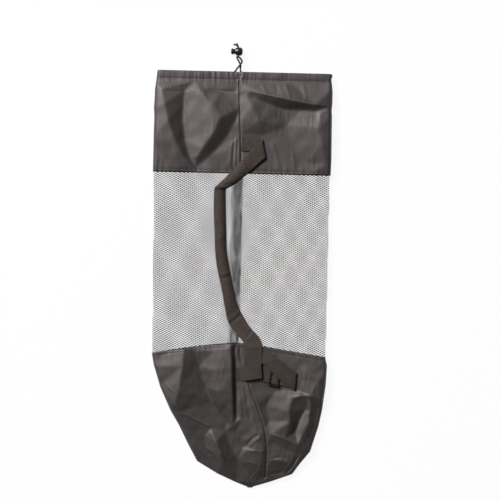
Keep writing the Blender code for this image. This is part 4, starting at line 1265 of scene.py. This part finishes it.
def braided_tube(name, path, diameter, finish, strands=8, lay=7 * MM, relief=0.05):
    """A round cord along a path, with the crossed strands of a braid standing out of it and rounded ends."""
    spots = [Vector(p) for p in path]
    run = run_lengths(spots)
    sides = 24
    points, weave = [], []
    ahead = (spots[1] - spots[0]).normalized()
    side = ahead.orthogonal().normalized()
    for index, centre in enumerate(spots):
        before, after = spots[max(index - 1, 0)], spots[min(index + 1, len(spots) - 1)]
        ahead = (after - before).normalized()
        side = (side - side.dot(ahead) * ahead).normalized()
        other = ahead.cross(side)
        from_end = min(run[index], run[-1] - run[index])
        share = min(1, (from_end + 0.08 * diameter) / (0.5 * diameter))
        for step in range(sides):
            turn = 2 * math.pi * step / sides
            one = math.cos(strands / 2 * turn + 2 * math.pi * run[index] / lay)
            two = math.cos(strands / 2 * turn - 2 * math.pi * run[index] / lay)
            radius = diameter / 2 * (1 + relief * (max(one, two) - 0.6)) * math.sqrt(1 - (1 - share) ** 2)
            points.append(centre + radius * (math.cos(turn) * side + math.sin(turn) * other))
            weave.append((turn / (2 * math.pi) * math.pi * diameter, run[index], 0))
    rows = len(spots)
    piece = new_piece(name, points, tube_faces(rows, sides), finish)
    weave_places(piece, weave)
    return piece, run[-1]


def make_drawcords():
    diameter = sizes().cord
    for name, route, node in (
        ("drawcord_left_braid", LEFT_STRAND, "drawcord_left"),
        ("drawcord_right_braid", RIGHT_STRAND, "drawcord_right"),
    ):
        path = through([(x * MM, y * MM, z * MM) for x, y, z in route], 0.5 * MM)
        strand, length = braided_tube(name, path, diameter, cord_finish())
        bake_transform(strand)
        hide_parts(node)
        tuple(path[0])
        [tuple(p) for p in path]
    low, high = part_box("drawcord_in_hem")
    side, middle = HALF_WIDTH - 7 * MM, 7 * MM
    radius = (high.z - low.z - diameter) / 2
    y = (low.y + high.y) / 2
    front, back = middle + radius, middle - radius
    right_end, left_end = 0.8 * MM, 24.8 * MM
    bends = np.linspace(0.3, math.pi - 0.3, 9)
    route = [(right_end + (side - right_end) * s / 10, y, front) for s in range(11)]
    route += [(side + radius * math.sin(t), y, middle + radius * math.cos(t)) for t in bends]
    route += [(side - 2 * side * s / 20, y, back) for s in range(21)]
    route += [(-side - radius * math.sin(t), y, middle - radius * math.cos(t)) for t in bends]
    route += [(-side + (side - left_end) * s / 10, y, front) for s in range(11)]
    path = through(route, 2 * MM)
    hidden, _ = braided_tube("drawcord_in_hem_braid", path, diameter, cord_finish())
    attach(hidden, "bag")
    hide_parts("drawcord_in_hem")


def turned_piece(name, profile, centre, steps=72):
    """A profile of (along X, radius) turned about the lock's axis."""
    points = []
    for along, radius in profile[1:-1]:
        for step in range(steps):
            turn = 2 * math.pi * step / steps
            y, z = centre.y + radius * math.cos(turn), centre.z + radius * math.sin(turn)
            points.append((centre.x + along, y, z))
    rows = len(profile) - 2
    faces = ring_faces(rows, steps)
    last = (rows - 1) * steps
    for step in range(steps):
        after = (step + 1) % steps
        faces.append((after, step, len(points)))
        faces.append((last + step, last + after, len(points) + 1))
    points += [(centre.x + along, centre.y, centre.z) for along, _ in (profile[0], profile[-1])]
    piece = new_piece(name, points, faces, plastic(), smooth=False)
    face_outwards(piece.data)
    return piece


def round_profile(corners, step=0.25 * MM):
    return [(p[0], max(p[1], 0)) for p in through([(a, r, 0) for a, r in corners], step)]


# Radius that stands for a point on the lock's axis
POLE = 0.001 * MM


def make_cord_lock():
    """Barrel, sprung plunger with its flanged head and the spring between them."""
    low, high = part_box("cord_lock_barrel")
    centre = Vector((-12 * MM, (low.y + high.y) / 2, (low.z + high.z) / 2))
    end, mouth = high.x - centre.x, low.x - centre.x
    length, radius = end - mouth, (high.y - low.y) / 2
    bore, wall = 4.7 * MM, 1.2 * MM
    dome = [
        (end, POLE), (end - 0.01 * length, 0.3 * radius), (end - 0.045 * length, 0.55 * radius),
        (end - 0.11 * length, 0.765 * radius), (end - 0.26 * length, 0.94 * radius),
        (end - 0.46 * length, radius), (end - 0.66 * length, 0.97 * radius),
        (end - 0.86 * length, 0.88 * radius), (mouth + 0.5 * MM, 0.815 * radius),
    ]
    profile = round_profile(dome)
    profile += [(mouth + 0.12 * MM, 0.795 * radius), (mouth, 0.76 * radius), (mouth, bore + 0.35 * MM)]
    profile += [(mouth + 0.1 * MM, bore + 0.1 * MM), (mouth + 0.4 * MM, bore), (end - wall, bore),
            (end - wall, POLE)]
    barrel = turned_piece("cord_lock_barrel_plastic", profile, centre)
    tall, wide = 3.25 * MM, 1.75 * MM
    x = centre.x - 1.2 * MM
    near, far = centre.y - 2 * radius, centre.y + 2 * radius
    slot_high = (x + wide, far, centre.z + tall)
    boolean(barrel, block("slot", (x - wide, near, centre.z - tall), slot_high), "DIFFERENCE")
    low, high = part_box("cord_lock_plunger")
    tip, inside = low.x - centre.x, high.x - centre.x
    head, stem = (high.y - low.y) / 2, 4.4 * MM
    neck = tip + 3.8 * MM
    profile = [(inside, POLE), (inside, stem - 0.4 * MM), (inside - 0.12 * MM, stem - 0.12 * MM),
            (inside - 0.4 * MM, stem)]
    profile += [(neck + 0.3 * MM, stem), (neck + 0.05 * MM, stem + 0.1 * MM), (neck, stem + 0.35 * MM),
            (neck, head - 0.4 * MM)]
    profile += [(neck - 0.12 * MM, head - 0.12 * MM), (neck - 0.4 * MM, head)]
    rim = [(neck - 0.5 * MM, head), (neck - 1.9 * MM, 0.985 * head), (neck - 2.8 * MM, 0.86 * head),
            (neck - 3.4 * MM, 0.64 * head), (tip, 0.3 * head), (tip, POLE)]
    profile += round_profile(rim)
    plunger = turned_piece("cord_lock_plunger_plastic", profile, centre)
    travel = 3 * MM
    boolean(plunger, block("slot", (x - wide - travel, near, centre.z - tall), slot_high), "DIFFERENCE")
    for piece, body, node in (
        (barrel, "cord_lock", "cord_lock_barrel"),
        (plunger, "plunger", "cord_lock_plunger"),
    ):
        piece.data.shade_smooth()
        piece.data.set_sharp_from_angle(angle=math.radians(42))
        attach(piece, body)
        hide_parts(node)
    low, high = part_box("cord_lock_spring")
    wire = 0.5 * MM
    coil = (high.y - low.y - wire) / 2
    turns, steps = 3, 40
    path = []
    for step in range(turns * steps + 1):
        turn = 2 * math.pi * step / steps
        along = low.x + wire / 2 + (high.x - low.x - wire) * step / (turns * steps)
        path.append((along, centre.y + coil * math.cos(turn), centre.z + coil * math.sin(turn)))
    spring, _ = braided_tube("cord_lock_spring_wire", path, wire, steel(), relief=0.0)
    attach(spring, "cord_lock")
    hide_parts("cord_lock_spring")
    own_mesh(spring)


# Sewing thread


# Rings of one stitch: share along it, share of the thread's radius and rise in radii
STITCH_RINGS = ((0, 0.35, -0.9), (0.12, 0.85, 0.1), (0.35, 1, 0.75), (0.65, 1, 0.75), (0.88, 0.85, 0.1),
                (1, 0.35, -0.9))
STRAP_STITCH = 1.9 * MM

# Pixels of the box sewn on the strap's end and its height in mm, then height and pixels of the tab's two rows
BOX_PIXELS = ((243, 138), (252, 138.4), (252.4, 150.6), (243, 150), (243, 138))
BOX_HEIGHT = 15.65
TAB_ROWS = (
    (14.5, ((236.6, 368.4), (238.2, 380.4))),
    (21.4, ((258.4, 365.2), (259.4, 377.4))),
)


def lay_thread(points, faces, start, stop, up, radius=0.36 * MM):
    """One stitch: a short thread that dips into the cloth at both ends."""
    ahead = stop - start
    side = ahead.cross(up).normalized()
    first = len(points)
    sides = 6
    for share, size, rise in STITCH_RINGS:
        centre = start + ahead * share + up * (rise * radius)
        for step in range(sides):
            turn = 2 * math.pi * step / sides
            points.append(centre + radius * size * (math.cos(turn) * side + math.sin(turn) * up))
    last = len(STITCH_RINGS) - 1
    for ring in range(last):
        for step in range(sides):
            a = first + ring * sides + step
            b = first + ring * sides + (step + 1) % sides
            faces.append((a, b, b + sides, a + sides))
    faces.append(tuple(range(first, first + sides))[::-1])
    faces.append(tuple(range(first + last * sides, first + (last + 1) * sides)))


def sew(points, faces, line, surface, up=Vector((0, 0, 1)), length=None):
    """Stitches along a line of (x, y), laid on a surface that gives the height."""
    length = length or sizes().stitch
    spots = [Vector(p) for p in line]
    run = run_lengths(spots)
    count = int(run[-1] / (length * 1.3))
    stops = np.linspace(0, run[-1], count + 1)
    xs = np.interp(stops, run, [p.x for p in spots])
    ys = np.interp(stops, run, [p.y for p in spots])
    for index in range(count):
        ends = []
        for share in (0.1, 0.87):
            x = xs[index] + (xs[index + 1] - xs[index]) * share
            y = ys[index] + (ys[index + 1] - ys[index]) * share
            ends.append(Vector((x, y, float(surface(x, y)))))
        lay_thread(points, faces, ends[0], ends[1], up)


def top_front(x, y):
    field, low = top_relief()
    lift = edge_round(np.minimum(x - outline_x(TOP_LEFT, y), outline_x(TOP_RIGHT, y) - x))
    return EDGE_Z + (sample(field, low, x, y) - EDGE_Z) * lift


def bottom_front(x, y):
    field, low = bottom_relief()
    left = outline_x(BOTTOM_LEFT, y)
    right = outline_x(BOTTOM_RIGHT, y)
    lift = edge_round(np.minimum(x - left, right - x))
    return EDGE_Z + (sample(field, low, x, y) - EDGE_Z) * lift


def across_line(y_of_x, inset=4 * MM, step=5 * MM):
    xs = np.arange(-HALF_WIDTH + inset, HALF_WIDTH - inset, step)
    return [(x, float(y_of_x(x))) for x in xs]


def at_height(height):
    """A level surface at a height in mm."""
    return lambda x, y: height * MM


def make_stitching():
    down = Vector((0, 0, -1))
    points, faces = [], []
    seam_y = MOUTH_Y - sizes().hem
    hem_row = across_line(lambda x: seam_y)
    lower_row = across_line(lambda x: TOP_JOIN_Y + 5 * MM)
    join_row = across_line(lambda x: join_y(x) - 5 * MM)
    gap = spot(*CORD_EXIT_PIXEL)[0]
    sew(points, faces, [p for p in hem_row if p[0] < gap - 3 * MM], top_front)
    sew(points, faces, [p for p in hem_row if p[0] > gap + 3 * MM], top_front)
    sew(points, faces, lower_row, top_front)
    sew(points, faces, join_row, bottom_front)
    for line in (hem_row, lower_row, join_row):
        sew(points, faces, line, back_level, down)
    low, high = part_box("base_panel")
    middle, radius = (low + high) / 2, (high.x - low.x) / 2 - 3 * MM
    turns = np.linspace(0, 2 * math.pi, 160)
    rim = [(middle.x + radius * math.cos(t), middle.y + radius * math.sin(t)) for t in turns]
    sew(points, faces, rim, at_height(0.3), down)
    panel = new_piece("seam_thread", points, faces, thread_finish())
    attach(panel, "bag")
    points, faces = [], []
    corners = [spot(*p) for p in BOX_PIXELS]
    cross = ((corners[0], corners[2]), (corners[1], corners[3]))
    for line in (corners, *cross):
        sew(points, faces, line, at_height(BOX_HEIGHT), length=STRAP_STITCH)
    for height, pixels in TAB_ROWS:
        sew(points, faces, [spot(*p) for p in pixels], at_height(height), length=STRAP_STITCH)
    strap_thread = new_piece("strap_thread", points, faces, thread_finish())
    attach(strap_thread, "bag")


# Finishes


def set_inputs(tree, made, inputs):
    """Links a node's inputs, or sets those that are given as plain values."""
    for name, value in inputs:
        if isinstance(value, bpy.types.NodeSocket):
            tree.links.new(value, made.inputs[name])
        else:
            made.inputs[name].default_value = value


def add_node(tree, kind, inputs=(), **values):
    made = tree.nodes.new(kind)
    for name, value in values.items():
        setattr(made, name, value)
    set_inputs(tree, made, inputs)
    return made


def maths(tree, operation, first, second=0.0, third=None):
    inputs = [(0, first), (1, second)] + ([(2, third)] if third is not None else [])
    return add_node(tree, "ShaderNodeMath", inputs, operation=operation).outputs[0]


def group_tree(name, inputs, outputs):
    """A new shader node group with its sockets."""
    tree = bpy.data.node_groups.new(name, "ShaderNodeTree")
    for socket, kind, value in inputs:
        made = tree.interface.new_socket(socket, in_out="INPUT", socket_type=kind)
        if value is not None:
            made.default_value = value
    for socket, kind in outputs:
        tree.interface.new_socket(socket, in_out="OUTPUT", socket_type=kind)
    return tree, tree.nodes.new("NodeGroupInput"), tree.nodes.new("NodeGroupOutput")


def cloth_tone_group():
    """Large soft patches, long slub streaks and worn spots of a cloth, each from 0 to 1."""
    name = "Cloth tone"
    if name in bpy.data.node_groups:
        return bpy.data.node_groups[name]
    tree, given, result = group_tree(
        name,
        (("Place", "NodeSocketVector", None), ("Patch size", "NodeSocketFloat", 0.05),
            ("Slub size", "NodeSocketFloat", 0.0012)),
        (("Patches", "NodeSocketFloat"), ("Slubs", "NodeSocketFloat"), ("Worn", "NodeSocketFloat")),
    )
    patch_scale = maths(tree, "DIVIDE", 1.0, given.outputs["Patch size"])
    patches = add_node(tree, "ShaderNodeTexNoise",
            [("Vector", given.outputs["Place"]), ("Scale", patch_scale), ("Detail", 3.0)])
    stretched = add_node(tree, "ShaderNodeMapping",
            [("Vector", given.outputs["Place"]), ("Scale", (1.0, 0.06, 0.06))])
    slub_scale = maths(tree, "DIVIDE", 1.0, given.outputs["Slub size"])
    slubs = add_node(tree, "ShaderNodeTexNoise",
            [("Vector", stretched.outputs[0]), ("Scale", slub_scale), ("Detail", 2.0)])
    worn_scale = maths(tree, "MULTIPLY", patch_scale, 3.7)
    worn = add_node(tree, "ShaderNodeTexNoise",
            [("Vector", given.outputs["Place"]), ("Scale", worn_scale), ("Detail", 5.0)])
    for label, source in (("Patches", patches), ("Slubs", slubs), ("Worn", worn)):
        tree.links.new(source.outputs["Fac"], result.inputs[label])
    return tree


def weave_group():
    """Height of crossing threads from 0 to 1, by their pitch. A slant of 1 makes the plain weave a twill."""
    name = "Crossing threads"
    if name in bpy.data.node_groups:
        return bpy.data.node_groups[name]
    tree, given, result = group_tree(
        name,
        (("Place", "NodeSocketVector", None), ("Pitch", "NodeSocketFloat", 0.0006),
            ("Slant", "NodeSocketFloat", 0.0)),
        (("Height", "NodeSocketFloat"), ("Rib", "NodeSocketFloat")),
    )
    split = add_node(tree, "ShaderNodeSeparateXYZ", [(0, given.outputs["Place"])])
    turn = maths(tree, "DIVIDE", 2 * math.pi, given.outputs["Pitch"])
    across = maths(tree, "MULTIPLY", split.outputs["X"], turn)
    along = maths(tree, "MULTIPLY", split.outputs["Y"], turn)
    leaning = maths(tree, "MULTIPLY_ADD", along, given.outputs["Slant"], across)
    plain = maths(tree, "MULTIPLY", maths(tree, "SINE", leaning),
            maths(tree, "SINE", maths(tree, "SUBTRACT", along, leaning)))
    rib = maths(tree, "SINE", leaning)
    tree.links.new(maths(tree, "MULTIPLY_ADD", plain, 0.5, 0.5), result.inputs["Height"])
    tree.links.new(maths(tree, "MULTIPLY_ADD", rib, 0.5, 0.5), result.inputs["Rib"])
    return tree


def new_finish(name):
    finish = bpy.data.materials.new(name)
    finish.use_nodes = True
    return finish, finish.node_tree, finish.node_tree.nodes["Principled BSDF"]


def use_group(tree, group, inputs):
    made = tree.nodes.new("ShaderNodeGroup")
    made.node_tree = group
    set_inputs(tree, made, inputs)
    return made


def shade(colour, amount):
    return (*(c * amount for c in colour), 1.0)


def blend_colour(tree, share, dark, light):
    """A colour between two, by a share from 0 to 1."""
    mix = tree.nodes.new("ShaderNodeMix")
    mix.data_type = "RGBA"
    tree.links.new(share, mix.inputs["Factor"])
    mix.inputs["A"].default_value = dark
    mix.inputs["B"].default_value = light
    return mix.outputs["Result"]


def spread(tree, value, low, high):
    """Spreads the middle of a noise, which is where nearly all of it lies, over a range."""
    limits = [("From Min", 0.3), ("From Max", 0.7), ("To Min", low), ("To Max", high)]
    return add_node(tree, "ShaderNodeMapRange", [("Value", value), *limits]).outputs[0]


def tones(tree, place, patch, slub):
    """The patches, slubs and wear of a finish, by the size of its patches and slubs in metres."""
    return use_group(tree, cloth_tone_group(), [("Place", place), ("Patch size", patch), ("Slub size", slub)])


def threads(tree, place, pitch, slant=0.0):
    return use_group(tree, weave_group(), [("Place", place), ("Pitch", pitch), ("Slant", slant)])


def paint(tree, shader, share, colour, dark, light):
    """Colours a finish between a darker and a lighter share of one colour."""
    mixed = blend_colour(tree, share, shade(colour, dark), shade(colour, light))
    tree.links.new(mixed, shader.inputs["Base Color"])


def roughen(tree, shader, tone, low, high):
    """Makes a finish rougher where it is worn."""
    tree.links.new(spread(tree, tone.outputs["Worn"], low, high), shader.inputs["Roughness"])


def add_bump(tree, shader, height, distance, strength=1.0):
    bump = add_node(tree, "ShaderNodeBump",
            [("Height", height), ("Distance", distance), ("Strength", strength)])
    tree.links.new(bump.outputs["Normal"], shader.inputs["Normal"])


def taffeta():
    name = "Charcoal taffeta"
    if name in bpy.data.materials:
        return bpy.data.materials[name]
    finish, tree, shader = new_finish(name)
    place = tree.nodes.new("ShaderNodeTexCoord").outputs["Object"]
    tone = tones(tree, place, patch=0.06, slub=0.0016)
    weave = threads(tree, place, pitch=0.0007)
    mixed = maths(tree, "MULTIPLY_ADD", tone.outputs["Slubs"], 0.45,
            maths(tree, "MULTIPLY", tone.outputs["Patches"], 0.55))
    colour = colours().taffeta
    share = spread(tree, mixed, 0.0, 1.0)
    paint(tree, shader, share, colour, dark=0.84, light=1.16)
    roughen(tree, shader, tone, low=0.54, high=0.64)
    height = maths(tree, "MULTIPLY_ADD", tone.outputs["Slubs"], 0.6,
            maths(tree, "MULTIPLY", weave.outputs["Height"], 0.4))
    add_bump(tree, shader, height, 0.12 * MM, 0.6)
    shader.inputs["Specular IOR Level"].default_value = 1.0
    shader.inputs["Specular Tint"].default_value = (1.0, 0.885, 0.89, 1.0)
    return finish


def net_finish():
    name = "Black net"
    if name in bpy.data.materials:
        return bpy.data.materials[name]
    finish, tree, shader = new_finish(name)
    place = tree.nodes.new("ShaderNodeTexCoord").outputs["Object"]
    tone = tones(tree, place, patch=0.04, slub=0.0012)
    weave = threads(tree, place, pitch=0.0005, slant=0.7)
    colour = colours().net
    share = spread(tree, tone.outputs["Patches"], 0.0, 1.0)
    paint(tree, shader, share, colour, dark=0.8, light=1.2)
    roughen(tree, shader, tone, low=0.5, high=0.68)
    add_bump(tree, shader, weave.outputs["Rib"], 0.05 * MM, 0.5)
    return finish


def webbing_finish():
    name = "Brown-black webbing"
    if name in bpy.data.materials:
        return bpy.data.materials[name]
    finish, tree, shader = new_finish(name)
    place = add_node(tree, "ShaderNodeAttribute", attribute_name="weave_place").outputs["Vector"]
    tone = tones(tree, place, patch=0.009, slub=0.0018)
    weave = threads(tree, place, pitch=0.0034, slant=1.0)
    colour = colours().webbing
    # The colour follows the twill's ribs, the same ribs that the bump raises: painted light on the ribs and
    # painted shade in the grooves between them, mixed half and half with random patches of tone.
    mixed = maths(tree, "MULTIPLY_ADD", weave.outputs["Rib"], 0.5,
            maths(tree, "MULTIPLY", tone.outputs["Patches"], 0.5))
    paint(tree, shader, mixed, colour, dark=0.15, light=1.85)
    roughen(tree, shader, tone, low=0.62, high=0.8)
    shader.inputs["Specular IOR Level"].default_value = 0.22
    height = maths(tree, "MULTIPLY_ADD", tone.outputs["Slubs"], 0.3,
            maths(tree, "MULTIPLY", weave.outputs["Rib"], 0.7))
    add_bump(tree, shader, height, 0.5 * MM, 0.8)
    shader.inputs["Sheen Weight"].default_value = 0.06
    shader.inputs["Sheen Roughness"].default_value = 0.5
    return finish


def cord_finish():
    name = "Black braided cord"
    if name in bpy.data.materials:
        return bpy.data.materials[name]
    finish, tree, shader = new_finish(name)
    place = add_node(tree, "ShaderNodeAttribute", attribute_name="weave_place").outputs["Vector"]
    tone = tones(tree, place, patch=0.01, slub=0.0008)
    weave = threads(tree, place, pitch=0.0009, slant=0.5)
    colour = colours().cord
    # Painted shade: the colour darkens where the braid's threads dip and is lighter on their tops. These are
    # the same heights that the bump uses.
    paint(tree, shader, weave.outputs["Height"], colour, dark=0.35, light=0.8)
    roughen(tree, shader, tone, low=0.55, high=0.75)
    add_bump(tree, shader, weave.outputs["Height"], 0.1 * MM, 0.6)
    return finish


def thread_finish():
    name = "Sewing thread"
    if name in bpy.data.materials:
        return bpy.data.materials[name]
    finish, tree, shader = new_finish(name)
    place = tree.nodes.new("ShaderNodeTexCoord").outputs["Object"]
    tone = tones(tree, place, patch=0.02, slub=0.0006)
    weave = threads(tree, place, pitch=0.0005, slant=1.0)
    colour = colours().thread
    # Painted light and shade: the colour is lighter on the thread's ribs and darker between them, the same
    # ribs that the bump raises.
    paint(tree, shader, weave.outputs["Rib"], colour, dark=0.7, light=1.3)
    roughen(tree, shader, tone, low=0.5, high=0.7)
    add_bump(tree, shader, weave.outputs["Rib"], 0.05 * MM, 0.5)
    return finish


def plastic():
    name = "Black moulded plastic"
    if name in bpy.data.materials:
        return bpy.data.materials[name]
    finish, tree, shader = new_finish(name)
    place = tree.nodes.new("ShaderNodeTexCoord").outputs["Object"]
    tone = tones(tree, place, patch=0.006, slub=0.0005)
    colour = colours().plastic
    share = spread(tree, tone.outputs["Patches"], 0.0, 1.0)
    paint(tree, shader, share, colour, dark=0.8, light=1.25)
    roughen(tree, shader, tone, low=0.2, high=0.34)
    add_bump(tree, shader, tone.outputs["Worn"], 0.02 * MM, 0.5)
    return finish


def steel():
    name = "Drawn spring wire"
    if name in bpy.data.materials:
        return bpy.data.materials[name]
    finish, tree, shader = new_finish(name)
    place = add_node(tree, "ShaderNodeAttribute", attribute_name="weave_place").outputs["Vector"]
    tone = tones(tree, place, patch=0.004, slub=0.0002)
    share = spread(tree, tone.outputs["Slubs"], 0.0, 1.0)
    tree.links.new(blend_colour(tree, share, (0.46, 0.46, 0.47, 1), (0.62, 0.62, 0.63, 1)),
            shader.inputs["Base Color"])
    roughen(tree, shader, tone, low=0.26, high=0.42)
    shader.inputs["Metallic"].default_value = 1.0
    return finish


# Stage


def make_stage():
    scene = bpy.context.scene
    scene.view_settings.view_transform = "Standard"
    mesh = bpy.data.meshes.new("floor")
    corners = ((-1, -1), (1, -1), (1, 1), (-1, 1))
    points = [(a * FLOOR_REACH, b * FLOOR_REACH, FLOOR_LEVEL) for a, b in corners]
    mesh.from_pydata(points, [], [(0, 1, 2, 3)])
    floor = bpy.data.objects.new("floor", mesh)
    scene.collection.objects.link(floor)
    mesh.materials.append(floor_finish())
    world = bpy.data.worlds.new("soft studio")
    world.use_nodes = True
    scene.world = world
    back = world.node_tree.nodes["Background"]
    back.inputs["Color"].default_value = (1, 1, 1, 1)
    back.inputs["Strength"].default_value = WORLD_STRENGTH
    aim = Vector((*spot(PICTURE / 2, PICTURE / 2), AIM_Z))
    lamp = bpy.data.lights.new("key", "AREA")
    lamp.shape = "DISK"
    lamp.size = KEY_SIZE
    lamp.energy = KEY_POWER
    key = bpy.data.objects.new("key", lamp)
    key.location = KEY_PLACE
    key.rotation_euler = (aim - Vector(KEY_PLACE)).to_track_quat("-Z", "Y").to_euler()
    scene.collection.objects.link(key)
    camera = bpy.data.cameras.new("camera")
    camera.sensor_width = SENSOR_WIDTH
    camera.lens = camera.sensor_width * CAMERA_DISTANCE / (PICTURE * PIXEL)
    eye = bpy.data.objects.new("camera", camera)
    eye.location = (aim.x, aim.y, aim.z + CAMERA_DISTANCE)
    eye.rotation_euler = (0, 0, BAG_TURN)
    scene.collection.objects.link(eye)
    scene.camera = eye


def floor_finish():
    """Pale floor that shows white where it is open and keeps the shadow."""
    finish = bpy.data.materials.new("Pale floor")
    finish.use_nodes = True
    tree = finish.node_tree
    tree.nodes.clear()
    result = tree.nodes.new("ShaderNodeOutputMaterial")
    matt = add_node(tree, "ShaderNodeBsdfDiffuse", [("Color", (FLOOR_TONE, FLOOR_TONE, FLOOR_TONE, 1))])
    glow = add_node(tree, "ShaderNodeEmission", [("Color", (1, 1, 1, 1)), ("Strength", 1.0)])
    path = tree.nodes.new("ShaderNodeLightPath")
    seen = maths(tree, "MAXIMUM", path.outputs["Is Camera Ray"], path.outputs["Is Glossy Ray"])
    seen = maths(tree, "MAXIMUM", seen, path.outputs["Is Transmission Ray"])
    share = maths(tree, "MULTIPLY", seen, FLOOR_GLOW)
    mix = add_node(tree, "ShaderNodeMixShader", [(0, share), (1, matt.outputs[0]), (2, glow.outputs[0])])
    tree.links.new(mix.outputs[0], result.inputs["Surface"])
    return finish


# Operators, panel and start


class BALLBAG_OT_stage(bpy.types.Operator):
    """Set up the floor, the light and the camera"""

    bl_idname = "ball_bag.stage"
    bl_label = "Stage"

    def execute(self, context):
        make_stage()
        return {"FINISHED"}


class BALLBAG_OT_drawcords(bpy.types.Operator):
    """Lay the drawcord in the hem and its two free strands"""

    bl_idname = "ball_bag.drawcords"
    bl_label = "Drawcords"

    def execute(self, context):
        make_drawcords()
        return {"FINISHED"}


class BALLBAG_OT_cord_lock(bpy.types.Operator):
    """Turn the cord lock's barrel and plunger and wind its spring"""

    bl_idname = "ball_bag.cord_lock"
    bl_label = "Cord lock"

    def execute(self, context):
        make_cord_lock()
        return {"FINISHED"}


class BALLBAG_OT_panels(bpy.types.Operator):
    """Drape the taffeta top, bottom and base panels"""

    bl_idname = "ball_bag.panels"
    bl_label = "Taffeta panels"

    def execute(self, context):
        make_top_panel()
        make_bottom_panel()
        make_base_panel()
        return {"FINISHED"}


class BALLBAG_OT_net(bpy.types.Operator):
    """Knit the front and back of the net and its seam"""

    bl_idname = "ball_bag.net"
    bl_label = "Net"

    def execute(self, context):
        make_net()
        make_seam_strip()
        return {"FINISHED"}


class BALLBAG_OT_strap(bpy.types.Operator):
    """Lay the shoulder strap and its anchor tab"""

    bl_idname = "ball_bag.strap"
    bl_label = "Strap and tab"

    def execute(self, context):
        make_strap()
        return {"FINISHED"}


class BALLBAG_OT_slider(bpy.types.Operator):
    """Mould the strap's slider"""

    bl_idname = "ball_bag.slider"
    bl_label = "Slider"

    def execute(self, context):
        make_slider()
        return {"FINISHED"}


class BALLBAG_OT_stitching(bpy.types.Operator):
    """Sew the seams, the strap's end and the tab"""

    bl_idname = "ball_bag.stitching"
    bl_label = "Stitching"

    def execute(self, context):
        make_stitching()
        return {"FINISHED"}


STEPS = (
    BALLBAG_OT_stage,
    BALLBAG_OT_drawcords,
    BALLBAG_OT_cord_lock,
    BALLBAG_OT_panels,
    BALLBAG_OT_net,
    BALLBAG_OT_strap,
    BALLBAG_OT_slider,
    BALLBAG_OT_stitching,
)


class BALLBAG_PT_panel(bpy.types.Panel):
    """Sizes, colours and building steps of the ball bag"""

    bl_idname = "BALLBAG_PT_panel"
    bl_label = "Mesh ball bag"
    bl_space_type = "VIEW_3D"
    bl_region_type = "UI"
    bl_category = "Ball bag"

    def draw(self, context):
        for group in (context.scene.ball_bag_sizes, context.scene.ball_bag_colours):
            column = self.layout.column()
            for name in group.__annotations__:
                column.prop(group, name)
        for step in STEPS:
            self.layout.operator(step.bl_idname)


CLASSES = (BagSizes, BagColours, *STEPS, BALLBAG_PT_panel)


def register():
    for made in CLASSES:
        bpy.utils.register_class(made)
    bpy.types.Scene.ball_bag_sizes = bpy.props.PointerProperty(type=BagSizes)
    bpy.types.Scene.ball_bag_colours = bpy.props.PointerProperty(type=BagColours)


def unregister():
    del bpy.types.Scene.ball_bag_colours
    del bpy.types.Scene.ball_bag_sizes
    for made in reversed(CLASSES):
        bpy.utils.unregister_class(made)


def main():
    register()
    bpy.ops.ball_bag.stage()
    bpy.ops.ball_bag.drawcords()
    bpy.ops.ball_bag.cord_lock()
    bpy.ops.ball_bag.panels()
    bpy.ops.ball_bag.net()
    bpy.ops.ball_bag.strap()
    bpy.ops.ball_bag.slider()
    bpy.ops.ball_bag.stitching()


if __name__ == "__main__":
    main()
